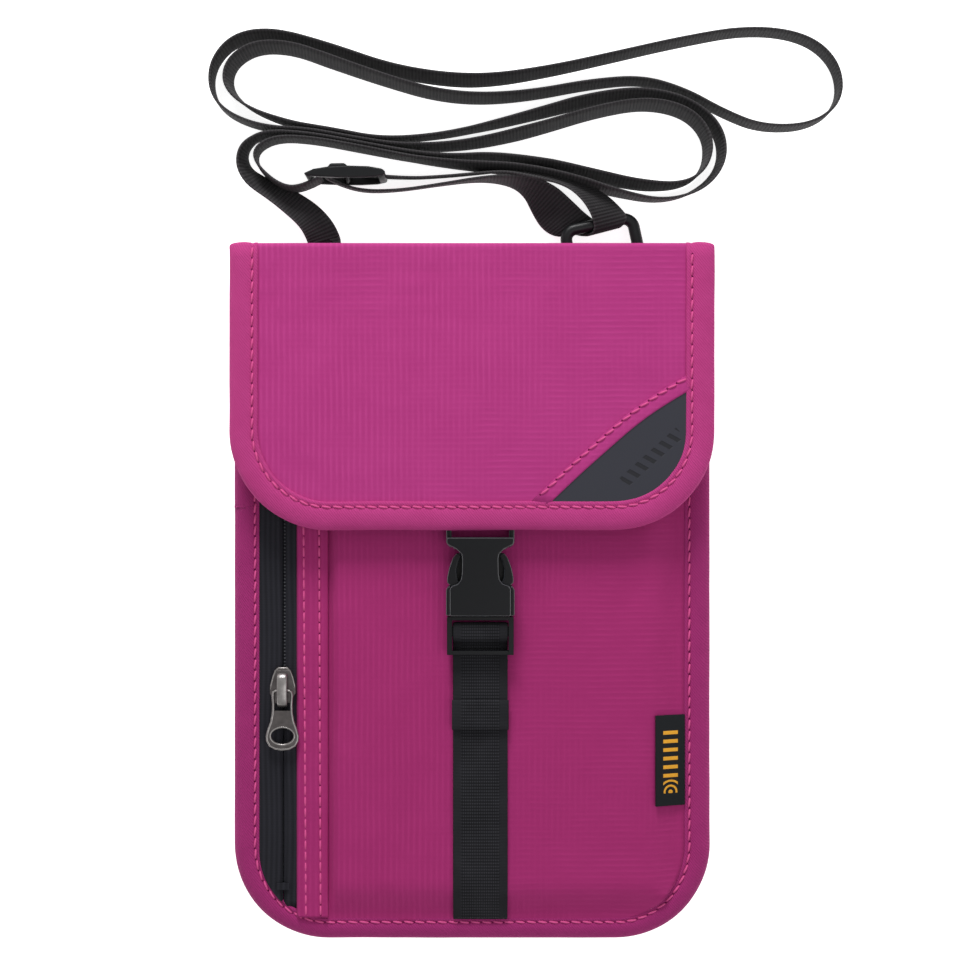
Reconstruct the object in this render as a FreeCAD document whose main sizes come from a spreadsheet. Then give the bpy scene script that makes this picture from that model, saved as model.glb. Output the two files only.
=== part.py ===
import FreeCAD, Part
import math
import os
import Sketcher

# Neck pouch wallet: it lies on its back, +X right, +Y towards the flap's fold, +Z out of the front.
# Lengths are millimetres, and the origin is on the back face.

os.makedirs("parts", exist_ok=True)
doc = FreeCAD.newDocument("neck_pouch")
V = FreeCAD.Vector

# ---------------------------------------------------------------- driving dimensions
DIMS = {
    "bodyHalf": 73.0,        # half width of the pouch
    "bodyTop": 105.5,        # top edge of the back panel
    "bodyBottom": -106.0,    # bottom edge
    "bodyCorner": 29.0,      # radius of the bottom corners
    "bindWidth": 8.3,        # sides of the body's binding
    "bindBottom": 6.8,       # bottom of the body's binding
    "bindHigh": 5.0,         # height of the body's binding
    "bindCloth": 0.8,        # thickness of the body's binding cloth
    "bindWall": 1.0,         # outer wall of both bindings
    "backCloth": 1.0,        # back panel
    "shieldFilm": 0.25,      # shielding film
    "liningCloth": 0.5,      # back lining
    "frontTop": 8.6,         # height of the front panel's outer face
    "frontCloth": 0.9,       # front panel cloth
    "frontFoot": 5.0,        # where the front panel starts to rise
    "rimLow": 3.4,           # underside of the front panel's rim
    "dividerFoot": 2.3,      # underside of the pocket divider's rim
    "dividerTop": 7.1,       # height of the divider
    "dividerCloth": 0.6,     # divider cloth
    "tapeLow": 4.6,          # underside of the zip tapes
    "tapeCloth": 0.6,        # zip tape cloth
    "zipLine": -57.5,        # X of the zip's centre line
    "zipTop": 96.0,          # upper end of the zip
    "zipBottom": -96.0,      # lower end of the zip
    "guardCloth": 1.0,       # guard strip
    "flapHalf": 72.7,        # half width of the flap
    "flapBottom": 19.3,      # lower edge of the flap
    "flapCorner": 30.0,      # radius of the flap's corners
    "flapBind": 8.7,         # width of the flap's binding
    "flapLow": 12.5,         # underside of the flap's binding
    "flapLining": 0.6,       # flap lining cloth
    "flapCloth": 1.0,        # flap panel cloth
    "flapFlange": 0.7,       # binding cloth above and below the flap
    "foldY": 103.9,          # the flap's fold line
    "foldZ": 13.2,           # height of the fold line
    "foldOuter": 1.6,        # outer radius of the fold
    "foldInner": 0.6,        # inner radius of the fold
    "patchThick": 0.5,       # corner patch
    "buckleX": 2.5,          # centre line of the buckle and its webbing
    "socketHalf": 10.25,     # half width of the socket
    "socketLow": 9.0,        # underside of the socket
    "socketHigh": 15.6,      # top of the socket
    "webWidth": 16.5,        # buckle webbing
    "webCloth": 0.8,         # webbing thickness
    "strapHigh": 10.0,       # width of the neck strap, which stands on its edge
    "strapCloth": 0.8,       # thickness of the neck strap
    "ringX": 40.7,           # centre of the ring's bar
    "ringY": 101.6,
    "ringZ": 4.7,
    "ringTurn": 12.0,        # how far the ring is turned in its tab, degrees
    "ringRod": 1.8,          # radius of the ring's rod
    "slideX": -38.2,         # centre of the strap adjuster
    "slideY": 126.8,
    "slideTall": 14.6,       # height of the adjuster as it stands
    "slideThick": 3.4,       # thickness of the adjuster
    "sliderNose": -22.3,     # upper end of the zip slider
    "sliderTail": -33.5,     # lower end of the zip slider
    "pullPivot": -29.6,      # Y of the zip pull's pivot
    "pullZ": 7.7,            # height of the zip pull's pivot
    "pullThick": 1.3,        # zip pull thickness
}
sheet = doc.addObject("Spreadsheet::Sheet", "dims")
for row, (alias, value) in enumerate(DIMS.items(), start=1):
    sheet.set("A%d" % row, alias)
    sheet.set("B%d" % row, str(value))
    sheet.setAlias("B%d" % row, alias)
doc.recompute()
D = type("Dims", (), DIMS)

FLAT = FreeCAD.Rotation()
SIDE = FreeCAD.Rotation(V(1, 1, 1), 120)     # sketch x along Y, sketch y along Z, normal along X
EXPORTS = []


# ---------------------------------------------------------------- small builders
def corner(a, b, c, radius):
    """Start, middle and end of the arc that rounds the corner b by the radius."""
    u = (a - b).normalize()
    v = (c - b).normalize()
    half = u.getAngle(v) / 2
    cut = radius / math.tan(half)
    middle = b + (u + v).normalize() * (radius / math.sin(half))
    inward = (b - middle).normalize() * radius
    return b + u * cut, middle + inward, b + v * cut


def outline(points, radii):
    """Closed outline of lines and arcs through the points, each corner with its radius."""
    pts = [V(x, y, 0) for x, y in points]
    pieces = []
    ends = []
    n = len(pts)
    for i in range(n):
        if radii[i] > 0:
            ends.append(corner(pts[i - 1], pts[i], pts[(i + 1) % n], radii[i]))
        else:
            ends.append((pts[i], None, pts[i]))
    for i in range(n):
        start, middle, end = ends[i]
        if middle is not None:
            pieces.append(Part.Arc(start, middle, end))
        following = ends[(i + 1) % n][0]
        if (following - end).Length > 1e-6:
            pieces.append(Part.LineSegment(end, following))
    return pieces


def polygon(points):
    return outline(points, [0] * len(points))


def sketch(name, geometry, turn=FLAT, base=V(0, 0, 0), binds=()):
    s = doc.addObject("Sketcher::SketchObject", name)
    s.Placement = FreeCAD.Placement(base, turn)
    s.addGeometry([g.toShape().Curve.trim(g.FirstParameter, g.LastParameter)
                   if isinstance(g, Part.Arc) else g for g in geometry], False)
    for prop, text in binds:
        s.setExpression(prop, text)
    return s


def extrude(name, profile, length):
    e = doc.addObject("Part::Extrusion", name)
    e.Base = profile
    e.DirMode = "Normal"
    e.Solid = True
    e.setExpression("LengthFwd", length)
    return e


def plate(name, geometry, low, thick):
    """A flat plate: its outline, the expression of its underside, and its thickness."""
    s = sketch(name + "_outline", geometry, binds=[("Placement.Base.z", low)])
    return extrude(name, s, thick)


def band(name, geometry, left, width):
    """A shape drawn in the YZ plane and run along X from left by width."""
    s = sketch(name + "_profile", geometry, turn=SIDE, binds=[("Placement.Base.x", left)])
    return extrude(name, s, width)


def block(name, x, y, z):
    """A box from expressions: (low, high) along each axis."""
    b = doc.addObject("Part::Box", name)
    for prop, place, (low, high) in (("Length", "x", x), ("Width", "y", y), ("Height", "z", z)):
        b.setExpression(prop, "(%s) - (%s)" % (high, low))
        b.setExpression("Placement.Base.%s" % place, low)
    return b


def rod(name, radius, length, base, axis):
    """A cylinder from expressions for its radius, length and three base coordinates."""
    c = doc.addObject("Part::Cylinder", name)
    c.setExpression("Radius", radius)
    c.setExpression("Height", length)
    c.Placement = FreeCAD.Placement(V(0, 0, 0), FreeCAD.Rotation(V(0, 0, 1), axis))
    for place, text in zip("xyz", base):
        c.setExpression("Placement.Base.%s" % place, text)
    return c


def loft(name, sections):
    made = doc.addObject("Part::Loft", name)
    made.Sections = sections
    made.Solid = True
    made.Ruled = True
    return made


def fuse(name, shapes):
    made = doc.addObject("Part::MultiFuse", name)
    made.Shapes = shapes
    return made


def cut(name, base, tool):
    made = doc.addObject("Part::Cut", name)
    made.Base = base
    made.Tool = tool
    return made


def common(name, shapes):
    made = doc.addObject("Part::MultiCommon", name)
    made.Shapes = shapes
    return made


def export(obj, label):
    obj.Label = label
    EXPORTS.append((obj, label))


def ribbon(points, thick):
    """Closed outline of a strip of cloth that follows the points."""
    pts = [V(a, b, 0) for a, b in points]
    left = []
    right = []
    for i, p in enumerate(pts):
        ahead = (pts[min(i + 1, len(pts) - 1)] - pts[max(i, 1) - 1 if i == len(pts) - 1 else i])
        behind = (p - pts[i - 1]) if i else ahead
        if i == len(pts) - 1:
            ahead = behind
        a = V(-ahead.y, ahead.x, 0).normalize()
        b = V(-behind.y, behind.x, 0).normalize()
        mid = (a + b).normalize()
        reach = thick / 2 / mid.dot(a)
        left.append(p + mid * reach)
        right.append(p - mid * reach)
    ring = left + right[::-1]
    return polygon([(q.x, q.y) for q in ring])


# ---------------------------------------------------------------- outlines
def pouch_outline(inset, bottom_inset, top_inset, left=None):
    """The body's outline moved in, with square top corners and round bottom corners."""
    half = D.bodyHalf - inset
    low = D.bodyBottom + bottom_inset
    high = D.bodyTop - top_inset
    radius = max(D.bodyCorner - (inset + bottom_inset) / 2, 6.0)
    start = -half if left is None else left
    left_radius = radius if left is None else 6.0
    return outline([(start, high), (start, low), (half, low), (half, high)],
                   [0, left_radius, radius, 0])


def flap_outline(inset, top):
    half = D.flapHalf - inset
    radius = D.flapCorner - inset
    low = D.flapBottom + inset
    return outline([(-half, top), (-half, low), (half, low), (half, top)], [0, radius, radius, 0])


# ---------------------------------------------------------------- pouch: back
def make_back():
    """Outer back panel with its rim in the binding, the shielding film and the lining."""
    inner = pouch_outline(D.bindWidth + 0.05, D.bindBottom + 0.05, 0)
    field = plate("back_field", inner, "0", "dims.backCloth")
    rim = plate("back_rim", pouch_outline(1.05, 1.05, 0), "0.8", "0.9")
    panel = fuse("back_panel", [field, rim])
    film_outline = pouch_outline(12, 11, 12)
    hollow = plate("film_seat", pouch_outline(D.bindWidth + 1.5, D.bindBottom + 1.5, -1),
                   "dims.backCloth", "2")
    seated = cut("back_panel_seated", panel, hollow)
    export(seated, "back_panel")
    film = plate("back_shield_film", film_outline, "dims.backCloth", "dims.shieldFilm")
    export(film, "back_shield_film")
    lining = plate("back_lining", pouch_outline(D.bindWidth + 1.6, D.bindBottom + 1.6, 0.6),
                   "dims.backCloth + dims.shieldFilm", "dims.liningCloth")
    export(lining, "back_lining")


def make_binding():
    """Cloth binding wrapped round the left, bottom and right edges, open inwards."""
    outer = plate("binding_outer", pouch_outline(0, 0, 0), "0", "dims.bindHigh")
    inner = plate("binding_field", pouch_outline(D.bindWidth, D.bindBottom, -1), "-1", "8")
    slot = plate("binding_slot", pouch_outline(D.bindWall, D.bindWall, -1),
                 "dims.bindCloth", "dims.bindHigh - 2 * dims.bindCloth")
    export(cut("body_binding", cut("binding_ring", outer, inner), slot), "body_binding")


# ---------------------------------------------------------------- pouch: pockets and front
def pillow(name, foot, top, foot_low, foot_high, top_high):
    """A plate that rises from a wide foot to a smaller flat top."""
    low = sketch(name + "_foot", foot, binds=[("Placement.Base.z", foot_high)])
    high = sketch(name + "_top", top, binds=[("Placement.Base.z", top_high)])
    slope = loft(name + "_slope", [low, high])
    base = plate(name + "_base", foot, foot_low, "%s - (%s)" % (foot_high, foot_low))
    return fuse(name, [base, slope])


def field_outline(left, right, low, high, left_radius, right_radius):
    return outline([(left, high), (left, low), (right, low), (right, high)],
                   [0, left_radius, right_radius, 0])


def make_divider():
    """Inner cloth wall between the main pocket and the zip pocket."""
    outer = pillow("divider_outer", field_outline(-44, 63.2, -98.0, 97.0, 12, 20),
                   field_outline(-38.5, 51, -87.0, 97.0, 9, 14),
                   "dims.dividerFoot", "dims.dividerFoot + 0.4", "dims.dividerTop")
    inner = pillow("divider_inner", field_outline(-43.3, 62.5, -97.3, 98.0, 11.5, 19.5),
                   field_outline(-37.9, 50.4, -86.4, 98.0, 8.6, 13.6),
                   "dims.dividerFoot - 0.5", "dims.dividerFoot + 0.3",
                   "dims.dividerTop - dims.dividerCloth")
    rim = plate("divider_rim", pouch_outline(1.05, 1.05, 8.5), "dims.dividerFoot", "dims.dividerCloth")
    hole = plate("divider_hole", field_outline(-43.6, 62.8, -97.6, 98.0, 11.8, 19.8), "-1", "12")
    skirt = cut("divider_skirt", rim, hole)
    export(fuse("pocket_divider", [cut("divider_shell", outer, inner), skirt]), "pocket_divider")


def make_front():
    """Outer front panel, raised over the pockets, with its rim in the binding."""
    foot = field_outline(-45, 64.6, -99.1, 97.0, 12, 21.2)
    top = field_outline(-41, 54, -89.5, 97.0, 9, 15)
    outer = pillow("front_outer", foot, top, "dims.rimLow", "dims.frontFoot", "dims.frontTop")
    foot_in = field_outline(-43.9, 63.5, -98.0, 98.0, 11, 20)
    top_in = field_outline(-40.1, 53.1, -88.6, 98.0, 8.4, 14.2)
    inner = pillow("front_inner", foot_in, top_in, "dims.rimLow - 1", "dims.frontFoot",
                   "dims.frontTop - dims.frontCloth")
    shell = cut("front_shell", outer, inner)
    rim = plate("front_rim", pouch_outline(1.05, 1.05, 8.5), "dims.rimLow", "0.8")
    hole = plate("front_hole", field_outline(-90, 64.0, -98.6, 98.0, 0, 20.6), "-1", "12")
    skirt = cut("front_skirt", rim, hole)
    whole = fuse("front_whole", [shell, skirt])
    zone = block("zip_zone", ("-80", "-41"), ("-120", "120"),
                 ("0", "dims.tapeLow + dims.tapeCloth + dims.guardCloth"))
    export(cut("front_panel", whole, zone), "front_panel")
    film = plate("front_shield_film", field_outline(-38, 51, -86, 92, 8, 12),
                 "dims.frontTop - dims.frontCloth - dims.shieldFilm", "dims.shieldFilm")
    export(film, "front_shield_film")
    hem = block("mouth_hem", ("-41", "54"), ("93.4", "97"), ("dims.frontTop", "dims.frontTop + 0.5"))
    export(hem, "mouth_hem")


def make_zip():
    """Two tapes, the two rows of coil, the guard strip beside them and the end stops."""
    low = "dims.tapeLow"
    high = "dims.tapeLow + dims.tapeCloth"
    ends = ("dims.zipBottom", "dims.zipTop")
    left = block("zip_tape_left", ("-64.6", "dims.zipLine - 0.45"), ends, (low, high))
    right = block("zip_tape_right", ("dims.zipLine + 0.45", "-46"), ends, (low, high))
    sweep = plate("zip_tape_bounds", field_outline(-64.65, 60, -98.6, 99, 20.6, 20), "0", "12")
    export(common("zip_tape_left_trimmed", [left, sweep]), "zip_tape_left")
    export(common("zip_tape_right_trimmed", [right, sweep]), "zip_tape_right")
    coil_ends = ("-88", "dims.zipTop")
    coil_left = block("coil_left", ("dims.zipLine - 1.45", "dims.zipLine - 0.45"), coil_ends,
                      (high, high + " + 0.5"))
    coil_right = block("coil_right", ("dims.zipLine + 0.45", "dims.zipLine + 1.45"), coil_ends,
                       (high, high + " + 0.5"))
    export(coil_left, "zip_coil_left")
    export(coil_right, "zip_coil_right")
    guard = block("guard", ("-53.4", "-43.2"), ("-99", "97"), (high, high + " + dims.guardCloth"))
    bounds = plate("guard_bounds", field_outline(-64.6, 60, -99.05, 99, 21, 20), "0", "12")
    export(common("guard_strip", [guard, bounds]), "guard_strip")
    for label, low_y, high_y in (("zip_stop_top", "93.6", "95.6"), ("zip_stop_bottom", "-90.2", "-88.2")):
        stop = block(label, ("dims.zipLine - 1.9", "dims.zipLine + 1.9"), (low_y, high_y),
                     (high, high + " + 1.1"))
        if label == "zip_stop_top":
            for coil in (coil_left, coil_right):
                coil.setExpression("Width", "93.4 + 88")
        export(stop, label)


def make_label():
    """Folded woven label, caught under the binding at the right."""
    section = [(64.55, 5.25), (55.9, 8.2), (55.5, 8.55), (55.8, 8.95), (56.2, 8.95), (64.55, 6.1)]
    turn = FreeCAD.Rotation(V(1, 0, 0), 90)
    s = sketch("label_section", polygon(section), turn=turn, base=V(0, -36.9, 0))
    export(extrude("woven_label", s, "27.5"), "woven_label")


# ---------------------------------------------------------------- flap
def make_fold():
    """The cloth that turns over the top edge, from the back panel to the flap."""
    y, z = D.foldY, D.foldZ
    far = y + D.foldOuter
    near = y + D.foldInner
    top = z + D.foldOuter
    under = z + D.foldInner
    lean = math.sqrt(0.5)
    outer_arc = Part.Arc(V(far, z, 0), V(y + D.foldOuter * lean, z + D.foldOuter * lean, 0), V(y, top, 0))
    inner_arc = Part.Arc(V(y, under, 0), V(y + D.foldInner * lean, z + D.foldInner * lean, 0), V(near, z, 0))
    edges = [
        Part.LineSegment(V(far, 1.75, 0), V(far, z, 0)),
        outer_arc,
        Part.LineSegment(V(y, top, 0), V(y, under, 0)),
        inner_arc,
        Part.LineSegment(V(near, z, 0), V(near, 1.75, 0)),
        Part.LineSegment(V(near, 1.75, 0), V(far, 1.75, 0)),
    ]
    wall = band("fold_wall", edges, "-72.7", "145.4")
    strap_gap = block("fold_gap_strap", ("-52", "-39"), ("100", "110"), ("0", "3"))
    ring_gap = block("fold_gap_ring", ("26", "54.5"), ("100", "110"), ("0", "8.2"))
    left_step = block("fold_step_left", ("-80", "dims.bindWidth - dims.bodyHalf + 0.1"), ("100", "110"),
                      ("0", "dims.bindHigh"))
    right_step = block("fold_step_right", ("dims.bodyHalf - dims.bindWidth - 0.1", "80"), ("100", "110"),
                       ("0", "dims.bindHigh"))
    ends = fuse("fold_gaps", [strap_gap, ring_gap, left_step, right_step])
    export(cut("flap_fold", wall, ends), "flap_fold")


def make_flap():
    """Flap lining, flap panel and the binding round its free edges."""
    lining = plate("flap_lining", flap_outline(1.05, D.foldY - 0.6),
                   "dims.flapLow + dims.flapFlange", "dims.flapLining")
    export(lining, "flap_lining")
    panel = plate("flap_panel", flap_outline(1.05, D.foldY),
                  "dims.flapLow + dims.flapFlange + dims.flapLining", "dims.flapCloth")
    export(panel, "flap_panel")
    height = "2 * dims.flapFlange + dims.flapLining + dims.flapCloth"
    outer = plate("flap_binding_outer", flap_outline(0, D.foldY), "dims.flapLow", height)
    inner = plate("flap_binding_field", flap_outline(D.flapBind, D.foldY + 1), "5", "20")
    slot = plate("flap_binding_slot", flap_outline(D.bindWall, D.foldY + 1),
                 "dims.flapLow + dims.flapFlange", "dims.flapLining + dims.flapCloth")
    export(cut("flap_binding", cut("flap_binding_ring", outer, inner), slot), "flap_binding")


def make_patch():
    """Smooth patch in the flap's lower right corner, with a gently bowed long edge."""
    top = "dims.flapLow + dims.flapFlange + dims.flapLining + dims.flapCloth"
    field = plate("patch_field", flap_outline(D.flapBind + 0.05, D.foldY), top, "dims.patchThick")
    bowed = polygon([(66, 62.1), (58, 57.5), (49, 51.2), (40.1, 43.4), (31.1, 35.4), (22.9, 27.5),
                     (30, 15), (80, 15), (80, 62.1)])
    region = plate("patch_region", bowed, "10", "10")
    export(common("corner_patch", [field, region]), "corner_patch")


# ---------------------------------------------------------------- buckle
def buckle_block(name, half_low, half_high, y, z, mirrored=False):
    low = "dims.buckleX + %s" % half_low
    high = "dims.buckleX + %s" % half_high
    if mirrored:
        low, high = "dims.buckleX - %s" % half_high, "dims.buckleX - %s" % half_low
    return block(name, (low, high), y, z)


def make_tab():
    """Short webbing loop that holds the socket's bar under the flap."""
    cx, cz = 23.5, 10.7
    path = [(44, 12.85), (31, 12.85), (28.4, 12.1), (cx, 12.1)]
    for degrees in (60, 30, 0, -30, -60):
        angle = math.radians(degrees)
        path.append((cx - 1.42 * math.cos(angle), cz + 1.42 * math.sin(angle)))
    path += [(cx, 9.3), (28.5, 9.5), (32.5, 12.05), (44, 12.13)]
    export(band("buckle_tab", ribbon(path, 0.68), "dims.buckleX - 8", "16"), "buckle_tab")


def make_socket():
    """Female half of the buckle: a mouth, two plates with open windows beside them, and a bar."""
    low, high = "dims.socketLow", "dims.socketHigh"
    mouth = buckle_block("mouth", "-dims.socketHalf", "dims.socketHalf", ("-6.3", "2.8"), (low, high))
    cavity = buckle_block("mouth_cavity", "-9.5", "9.5", ("-7", "14"), (low + " + 1", high + " - 1"))
    upper = buckle_block("neck_upper", "-5.9", "5.9", ("2.8", "13.6"), (high + " - 1", high))
    lower = buckle_block("neck_lower", "-5.9", "5.9", ("2.8", "13.6"), (low, low + " + 1"))
    head = buckle_block("head", "-8.6", "8.6", ("13.6", "17.2"), (low + " + 0.4", high + " - 0.9"))
    nose = buckle_block("head_step", "-5.9", "5.9", ("13.6", "15.6"), (low, high))
    left = buckle_block("post_left", "8.7", "10.3", ("13.6", "25.2"), (low + " + 0.3", "12.4"), True)
    right = buckle_block("post_right", "8.7", "10.3", ("13.6", "25.2"), (low + " + 0.3", "12.4"))
    join_left = buckle_block("join_left", "8.5", "8.8", ("13.6", "17.2"), (low + " + 0.4", "12.4"), True)
    join_right = buckle_block("join_right", "8.5", "8.8", ("13.6", "17.2"), (low + " + 0.4", "12.4"))
    bar = rod("socket_bar", "1.0", "17.8", ("dims.buckleX - 8.9", "23.5", "10.7"), V(1, 0, 0))
    shell = cut("mouth_shell", mouth, cavity)
    whole = fuse("buckle_socket", [shell, upper, lower, head, nose, left, right, join_left, join_right, bar])
    export(whole, "buckle_socket")


def make_plug():
    """Male half: ladder frame for the webbing and the middle guide."""
    rails = []
    for side, mirrored in (("left", True), ("right", False)):
        rails.append(buckle_block("rail_" + side, "8.5", "10.0", ("-18", "-6.6"), ("10.4", "14"), mirrored))
    front = buckle_block("front_bar", "-8.6", "8.6", ("-7.6", "-6.6"), ("10.6", "14.1"))
    middle = buckle_block("web_bar", "-8.6", "8.6", ("-12.6", "-9.6"), ("10.8", "12.6"))
    foot = buckle_block("foot_bar", "-8.6", "8.6", ("-18", "-16.8"), ("11", "13.6"))
    guide = buckle_block("guide", "-2.2", "2.2", ("-6.8", "10"), ("11.2", "13.4"))
    export(fuse("buckle_plug", rails + [front, middle, foot, guide]), "buckle_plug")


def make_arm(side, label):
    """Springy side arm of the plug, with a round root and a curved shoulder."""
    x0 = D.buckleX
    shape = [(5.1, -5.2), (5.7, 1.0), (6.8, 5.0), (6.7, 8.0), (4.6, 11.2), (5.3, 12.2),
             (7.6, 10.9), (9.0, 8.0), (9.3, 4.6), (8.7, 3.2), (7.9, 1.0), (7.5, -5.2)]
    points = [(x0 + side * x, y) for x, y in shape]
    if side < 0:
        points = points[::-1]
    blade = plate(label + "_blade", polygon(points), "10.5", "3.6")
    root = rod(label + "_root", "1.2", "3.6", ("dims.buckleX + %g" % (6.3 * side), "-5.2", "10.5"), V(0, 0, 1))
    export(fuse(label, [blade, root]), label)


def make_webbing():
    """Buckle webbing: up the front, round the plug's bar, and back down as a hemmed tail."""
    path = [(-99.0, 5.75), (-89.2, 9.12), (-15.2, 9.2), (-12.5, 9.75), (-8.95, 10.3), (-8.95, 13.3),
            (-13.6, 13.3), (-14.6, 10.25), (-17, 10.1), (-40, 10.1)]
    export(band("buckle_webbing", ribbon(path, D.webCloth), "dims.buckleX - dims.webWidth / 2",
                "dims.webWidth"), "buckle_webbing")
    hem = block("webbing_hem", ("dims.buckleX - 8.4", "dims.buckleX + 8.4"), ("-40.4", "-32.2"),
                ("10.55", "11.25"))
    export(hem, "webbing_hem")


# ---------------------------------------------------------------- zip slider and pull
def make_slider():
    """Slider body: top and bottom plates and the web between them, and the bridge over it."""
    ends = ("dims.sliderTail", "dims.sliderNose")
    top = plate("slider_top", outline([(-61.4, D.sliderNose), (-61.4, D.sliderTail + 1), (-60.4, D.sliderTail),
                                       (-54.6, D.sliderTail), (-53.6, D.sliderTail + 1), (-53.6, D.sliderNose)],
                                      [2.4, 0.6, 0.8, 0.8, 0.6, 2.4]), "6.2", "0.7")
    bottom = block("slider_bottom", ("-61", "-54"), ends, ("3.3", "4.0"))
    web = block("slider_web", ("dims.zipLine - 0.15", "dims.zipLine + 0.15"), ("-27", "-24"), ("3.9", "6.3"))
    left = block("slider_lip_left", ("-61.4", "-60.8"), ("-33", "-25"), ("5.5", "6.3"))
    right = block("slider_lip_right", ("-54.2", "-53.6"), ("-33", "-25"), ("5.5", "6.3"))
    gap = block("slider_lip_gap", ("-53.75", "-53"), ("-40", "-20"), ("5", "6.25"))
    body = fuse("slider_body", [top, bottom, web, left, right])
    export(cut("zip_slider", body, gap), "zip_slider")
    arch = [(-25.2, 6.9), (-25.2, 8.5), (-26.0, 9.3), (-33.2, 9.3), (-34.0, 8.5), (-34.0, 6.9),
            (-33.0, 6.9), (-33.0, 8.5), (-26.2, 8.5), (-26.2, 6.9)]
    export(band("zip_bridge", polygon(arch), "dims.zipLine - 1.45", "2.9"), "zip_bridge")


def make_pull():
    """Flat zip pull: a window round the bridge at the top and an oval finger hole below."""
    x = D.zipLine
    shape = outline([(x - 3.15, -29.6), (x - 3.15, -36.4), (x - 5.0, -42.6), (x - 4.3, -47.0),
                     (x + 4.3, -47.0), (x + 5.0, -42.6), (x + 3.15, -36.4), (x + 3.15, -29.6)],
                    [0, 3, 4, 3.4, 3.4, 4, 3, 0])
    body = plate("pull_plate", shape, "dims.pullZ - dims.pullThick / 2", "dims.pullThick")
    window = block("pull_window", ("dims.zipLine - 2.0", "dims.zipLine + 2.0"), ("-35.6", "-28"), ("6", "10"))
    hole = plate("pull_hole", outline([(x - 3.9, -40.4), (x - 3.6, -45.7), (x + 3.6, -45.7), (x + 3.9, -40.4)],
                                      [2.4, 2.6, 2.6, 2.4]), "6", "4")
    frame = cut("pull_frame", cut("pull_windowed", body, window), hole)
    bar = rod("pull_bar", "dims.pullThick / 2", "6.3",
              ("dims.zipLine - 3.15", "dims.pullPivot", "dims.pullZ"), V(1, 0, 0))
    export(fuse("zip_pull", [frame, bar]), "zip_pull")


# ---------------------------------------------------------------- ring and strap
RING_TURN = FreeCAD.Rotation(V(0, 0, 1), D.ringTurn)
RING_BASE = V(D.ringX, D.ringY, D.ringZ)


def make_ring():
    """Plastic D-ring: a round bar held in the tab, two legs and a bow."""
    corners = [(-10.5, 0), (-10.5, 11), (10.5, 11), (10.5, 0)]
    path = sketch("ring_path", outline(corners, [1.9, 3.2, 3.2, 1.9]), turn=RING_TURN, base=RING_BASE)
    circle = sketch("ring_section", [Part.Circle(V(0, 0, 0), V(0, 0, 1), D.ringRod)],
                    turn=RING_TURN.multiply(FreeCAD.Rotation(V(0, 1, 0), 90)), base=RING_BASE)
    ring = doc.addObject("Part::Sweep", "d_ring")
    ring.Sections = [circle]
    ring.Spine = (path, [])
    ring.Solid = True
    ring.Frenet = False
    export(ring, "d_ring")
    shell = rod("tab_shell", "2.85", "14.8", ("dims.ringX", "dims.ringY", "dims.ringZ"), V(1, 0, 0))
    bore = rod("tab_bore", "2.1", "20", ("dims.ringX", "dims.ringY", "dims.ringZ"), V(1, 0, 0))
    for piece, half in ((shell, 7.4), (bore, 10)):
        turn = RING_TURN.multiply(FreeCAD.Rotation(V(0, 0, 1), V(1, 0, 0)))
        offset = RING_TURN.multVec(V(-half, 0, 0))
        piece.Placement = FreeCAD.Placement(RING_BASE + offset, turn)
        piece.setExpression("Placement.Base.x", "dims.ringX + %.6f" % offset.x)
        piece.setExpression("Placement.Base.y", "dims.ringY + %.6f" % offset.y)
    tail_profile = [(-2.0, 2.6), (-2.0, 4.4), (-6.0, 3.35), (-14, 3.35), (-14, 1.76), (-5.0, 1.76)]
    tail = doc.addObject("Sketcher::SketchObject", "tab_tail_profile")
    tail.Placement = FreeCAD.Placement(V(D.ringX, D.ringY, 0) + RING_TURN.multVec(V(-7.4, 0, 0)),
                                       RING_TURN.multiply(SIDE))
    tail.addGeometry(polygon(tail_profile), False)
    strip = extrude("tab_tail", tail, "14.8")
    export(cut("ring_tab", fuse("tab_whole", [shell, strip]), bore), "ring_tab")


def upright_band(name, points, z_low):
    """A strap on its edge: straight runs with tangent arcs, thickened both ways and raised."""
    pts = [V(x, y, 0) for x, y in points]
    half = D.strapCloth / 2
    runs = [(b - a).Length for a, b in zip(pts, pts[1:])]
    marks = [(pts[0], None)]
    length = 0.0
    radii = []
    for i in range(1, len(pts) - 1):
        u = (pts[i - 1] - pts[i]).normalize()
        v = (pts[i + 1] - pts[i]).normalize()
        inner = u.getAngle(v)
        turn = math.pi - inner
        shorter = min(runs[i - 1], runs[i])
        radius = 0.45 * shorter / math.tan(turn / 2)
        radii.append(radius)
        start, middle, end = corner(pts[i - 1], pts[i], pts[i + 1], radius)
        marks.append((start, (radius, (u + v).normalize() * (radius / math.sin(inner / 2)) + pts[i])))
        marks.append((end, None))
        length += radius * turn - 2 * 0.45 * shorter
    marks.append((pts[-1], None))
    length += sum(runs)
    sides = ([], [])
    for (p, arc), (q, _) in zip(marks, marks[1:]):
        for side, store in zip((1, -1), sides):
            if arc is None:
                along = (q - p).normalize()
                aside = V(-along.y, along.x, 0) * half * side
                store.append(Part.LineSegment(p + aside, q + aside))
                continue
            radius, centre = arc
            arms = [(r - centre).normalize() for r in (p, q)]
            middle = (arms[0] + arms[1]).normalize()
            cross = arms[0].cross(arms[1]).z
            reach = radius - half * side * (1 if cross > 0 else -1)
            store.append(Part.Arc(*[centre + a * reach for a in (arms[0], middle, arms[1])]))
    ends = []
    for a, b in ((0, 0), (-1, -1)):
        first = sides[0][a]
        second = sides[1][b]
        corner_points = []
        for g in (first, second):
            wire = g.toShape()
            parameter = wire.FirstParameter if a == 0 else wire.LastParameter
            corner_points.append(wire.valueAt(parameter))
        ends.append(Part.LineSegment(*corner_points))
    profile = sketch(name + "_plan", sides[0] + sides[1] + ends, binds=[("Placement.Base.z", z_low)])
    return extrude(name, profile, "dims.strapHigh"), length, radii


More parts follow.
